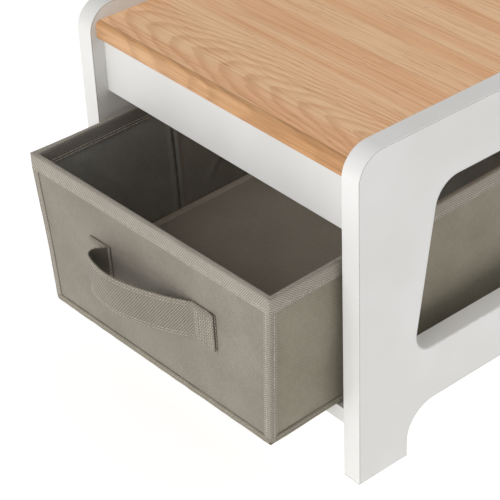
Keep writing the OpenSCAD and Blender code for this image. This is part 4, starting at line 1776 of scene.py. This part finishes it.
@dataclass
class Studio:
    """A pale floor, soft lamps and the camera."""

    aim: Vector
    floor_size: float = 30.0
    world: float = 0.35
    lens: float = 125.74
    azimuth: float = 51.25
    elevation: float = 34.57
    roll: float = -2.65
    eye: tuple[float, float, float] = (0.941028, -0.824688, 0.958381)
    lamps: tuple[Lamp, ...] = (
        Lamp("front", 5, 25, 2.4, 1.8, 28.0),
        Lamp("back", 150, 50, 2.4, 1.8, 15.0),
    )

    def direction(self, azimuth: float, elevation: float) -> Vector:
        """Gives the way from the bench to a place round it, with azimuth 0 in front."""
        a, e = math.radians(azimuth), math.radians(elevation)
        return Vector((math.sin(a) * math.cos(e), -math.cos(a) * math.cos(e), math.sin(e)))

    def build_floor(self) -> None:
        """Lays a pale floor that is lifted a little by its own light, as a studio sweep is."""
        deselect()
        bpy.ops.mesh.primitive_plane_add(size=self.floor_size)
        floor = bpy.context.object
        floor.name = floor.data.name = "studio_floor"
        graph = Graph("studio_floor", Roughness=0.9, Emission_Strength=0.5)
        graph.shader.inputs["Emission Color"].default_value = tone("ffffff")
        haze = graph.noise(graph.place(), 2.0, 2.0)
        graph.colour(graph.mix(haze, tone("f6f6f6"), tone("f3f3f3")))
        floor.data.materials.append(graph.material)

    def build_lamps(self) -> None:
        """Hangs the lamps and lights the room."""
        for lamp in self.lamps:
            light = bpy.data.lights.new(lamp.name, "AREA")
            light.size, light.energy, light.color = lamp.size, lamp.power, lamp.colour
            holder = bpy.data.objects.new(lamp.name, light)
            way = self.direction(lamp.azimuth, lamp.elevation)
            holder.location = self.aim + way * lamp.distance
            holder.rotation_euler = way.to_track_quat("Z", "Y").to_euler()
            bpy.context.scene.collection.objects.link(holder)
        world = bpy.data.worlds.new("studio")
        world.use_nodes = True
        world.node_tree.nodes["Background"].inputs["Color"].default_value = (1, 1, 1, 1)
        world.node_tree.nodes["Background"].inputs["Strength"].default_value = self.world
        bpy.context.scene.world = world

    def build_camera(self) -> None:
        """Places the camera."""
        back = self.direction(self.azimuth, self.elevation)
        across = Vector((0, 0, 1)).cross(back).normalized()
        up = back.cross(across)
        r = math.radians(self.roll)
        right, top = across * math.cos(r) + up * math.sin(r), up * math.cos(r) - across * math.sin(r)
        camera = bpy.data.cameras.new("camera")
        camera.lens, camera.sensor_width = self.lens, 36
        camera.clip_start, camera.clip_end = 0.01, 60
        holder = bpy.data.objects.new("camera", camera)
        holder.matrix_world = Matrix.Translation(self.eye) @ Matrix((right, top, back)).transposed().to_4x4()
        bpy.context.scene.collection.objects.link(holder)
        bpy.context.scene.camera = holder

    def build(self) -> None:
        """Makes the whole studio."""
        self.build_camera()
        self.build_floor()
        self.build_lamps()
        bpy.context.scene.view_settings.view_transform = "Standard"


def main(frame: dict) -> None:
    """Builds the bench's looks.

    Args:
        frame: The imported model.
    """
    logging.basicConfig(level=logging.INFO, format="%(name)s: %(message)s")
    finishes = Finishes.make()
    form = DrawerForm.from_frame(frame["joints"])
    LOG.info("drawer turned %.2f degrees", math.degrees(form.turn))
    carcass = Carcass(frame["nodes"], finishes)
    carcass.build_panels()
    carcass.build_boards()
    carcass.build_seat()
    carcass.build_fittings()
    DrawerShell(form, finishes).build()
    strap_low, strap_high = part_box("handle_strap")
    Handle(form, finishes, strap_low.z - form.middle.z, strap_high.z - strap_low.z).build()
    Insert(form, finishes).build()
    Studio(Vector((0.0, 0.0, 0.15))).build()


if __name__ == "__main__":
    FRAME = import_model()
    main(FRAME)
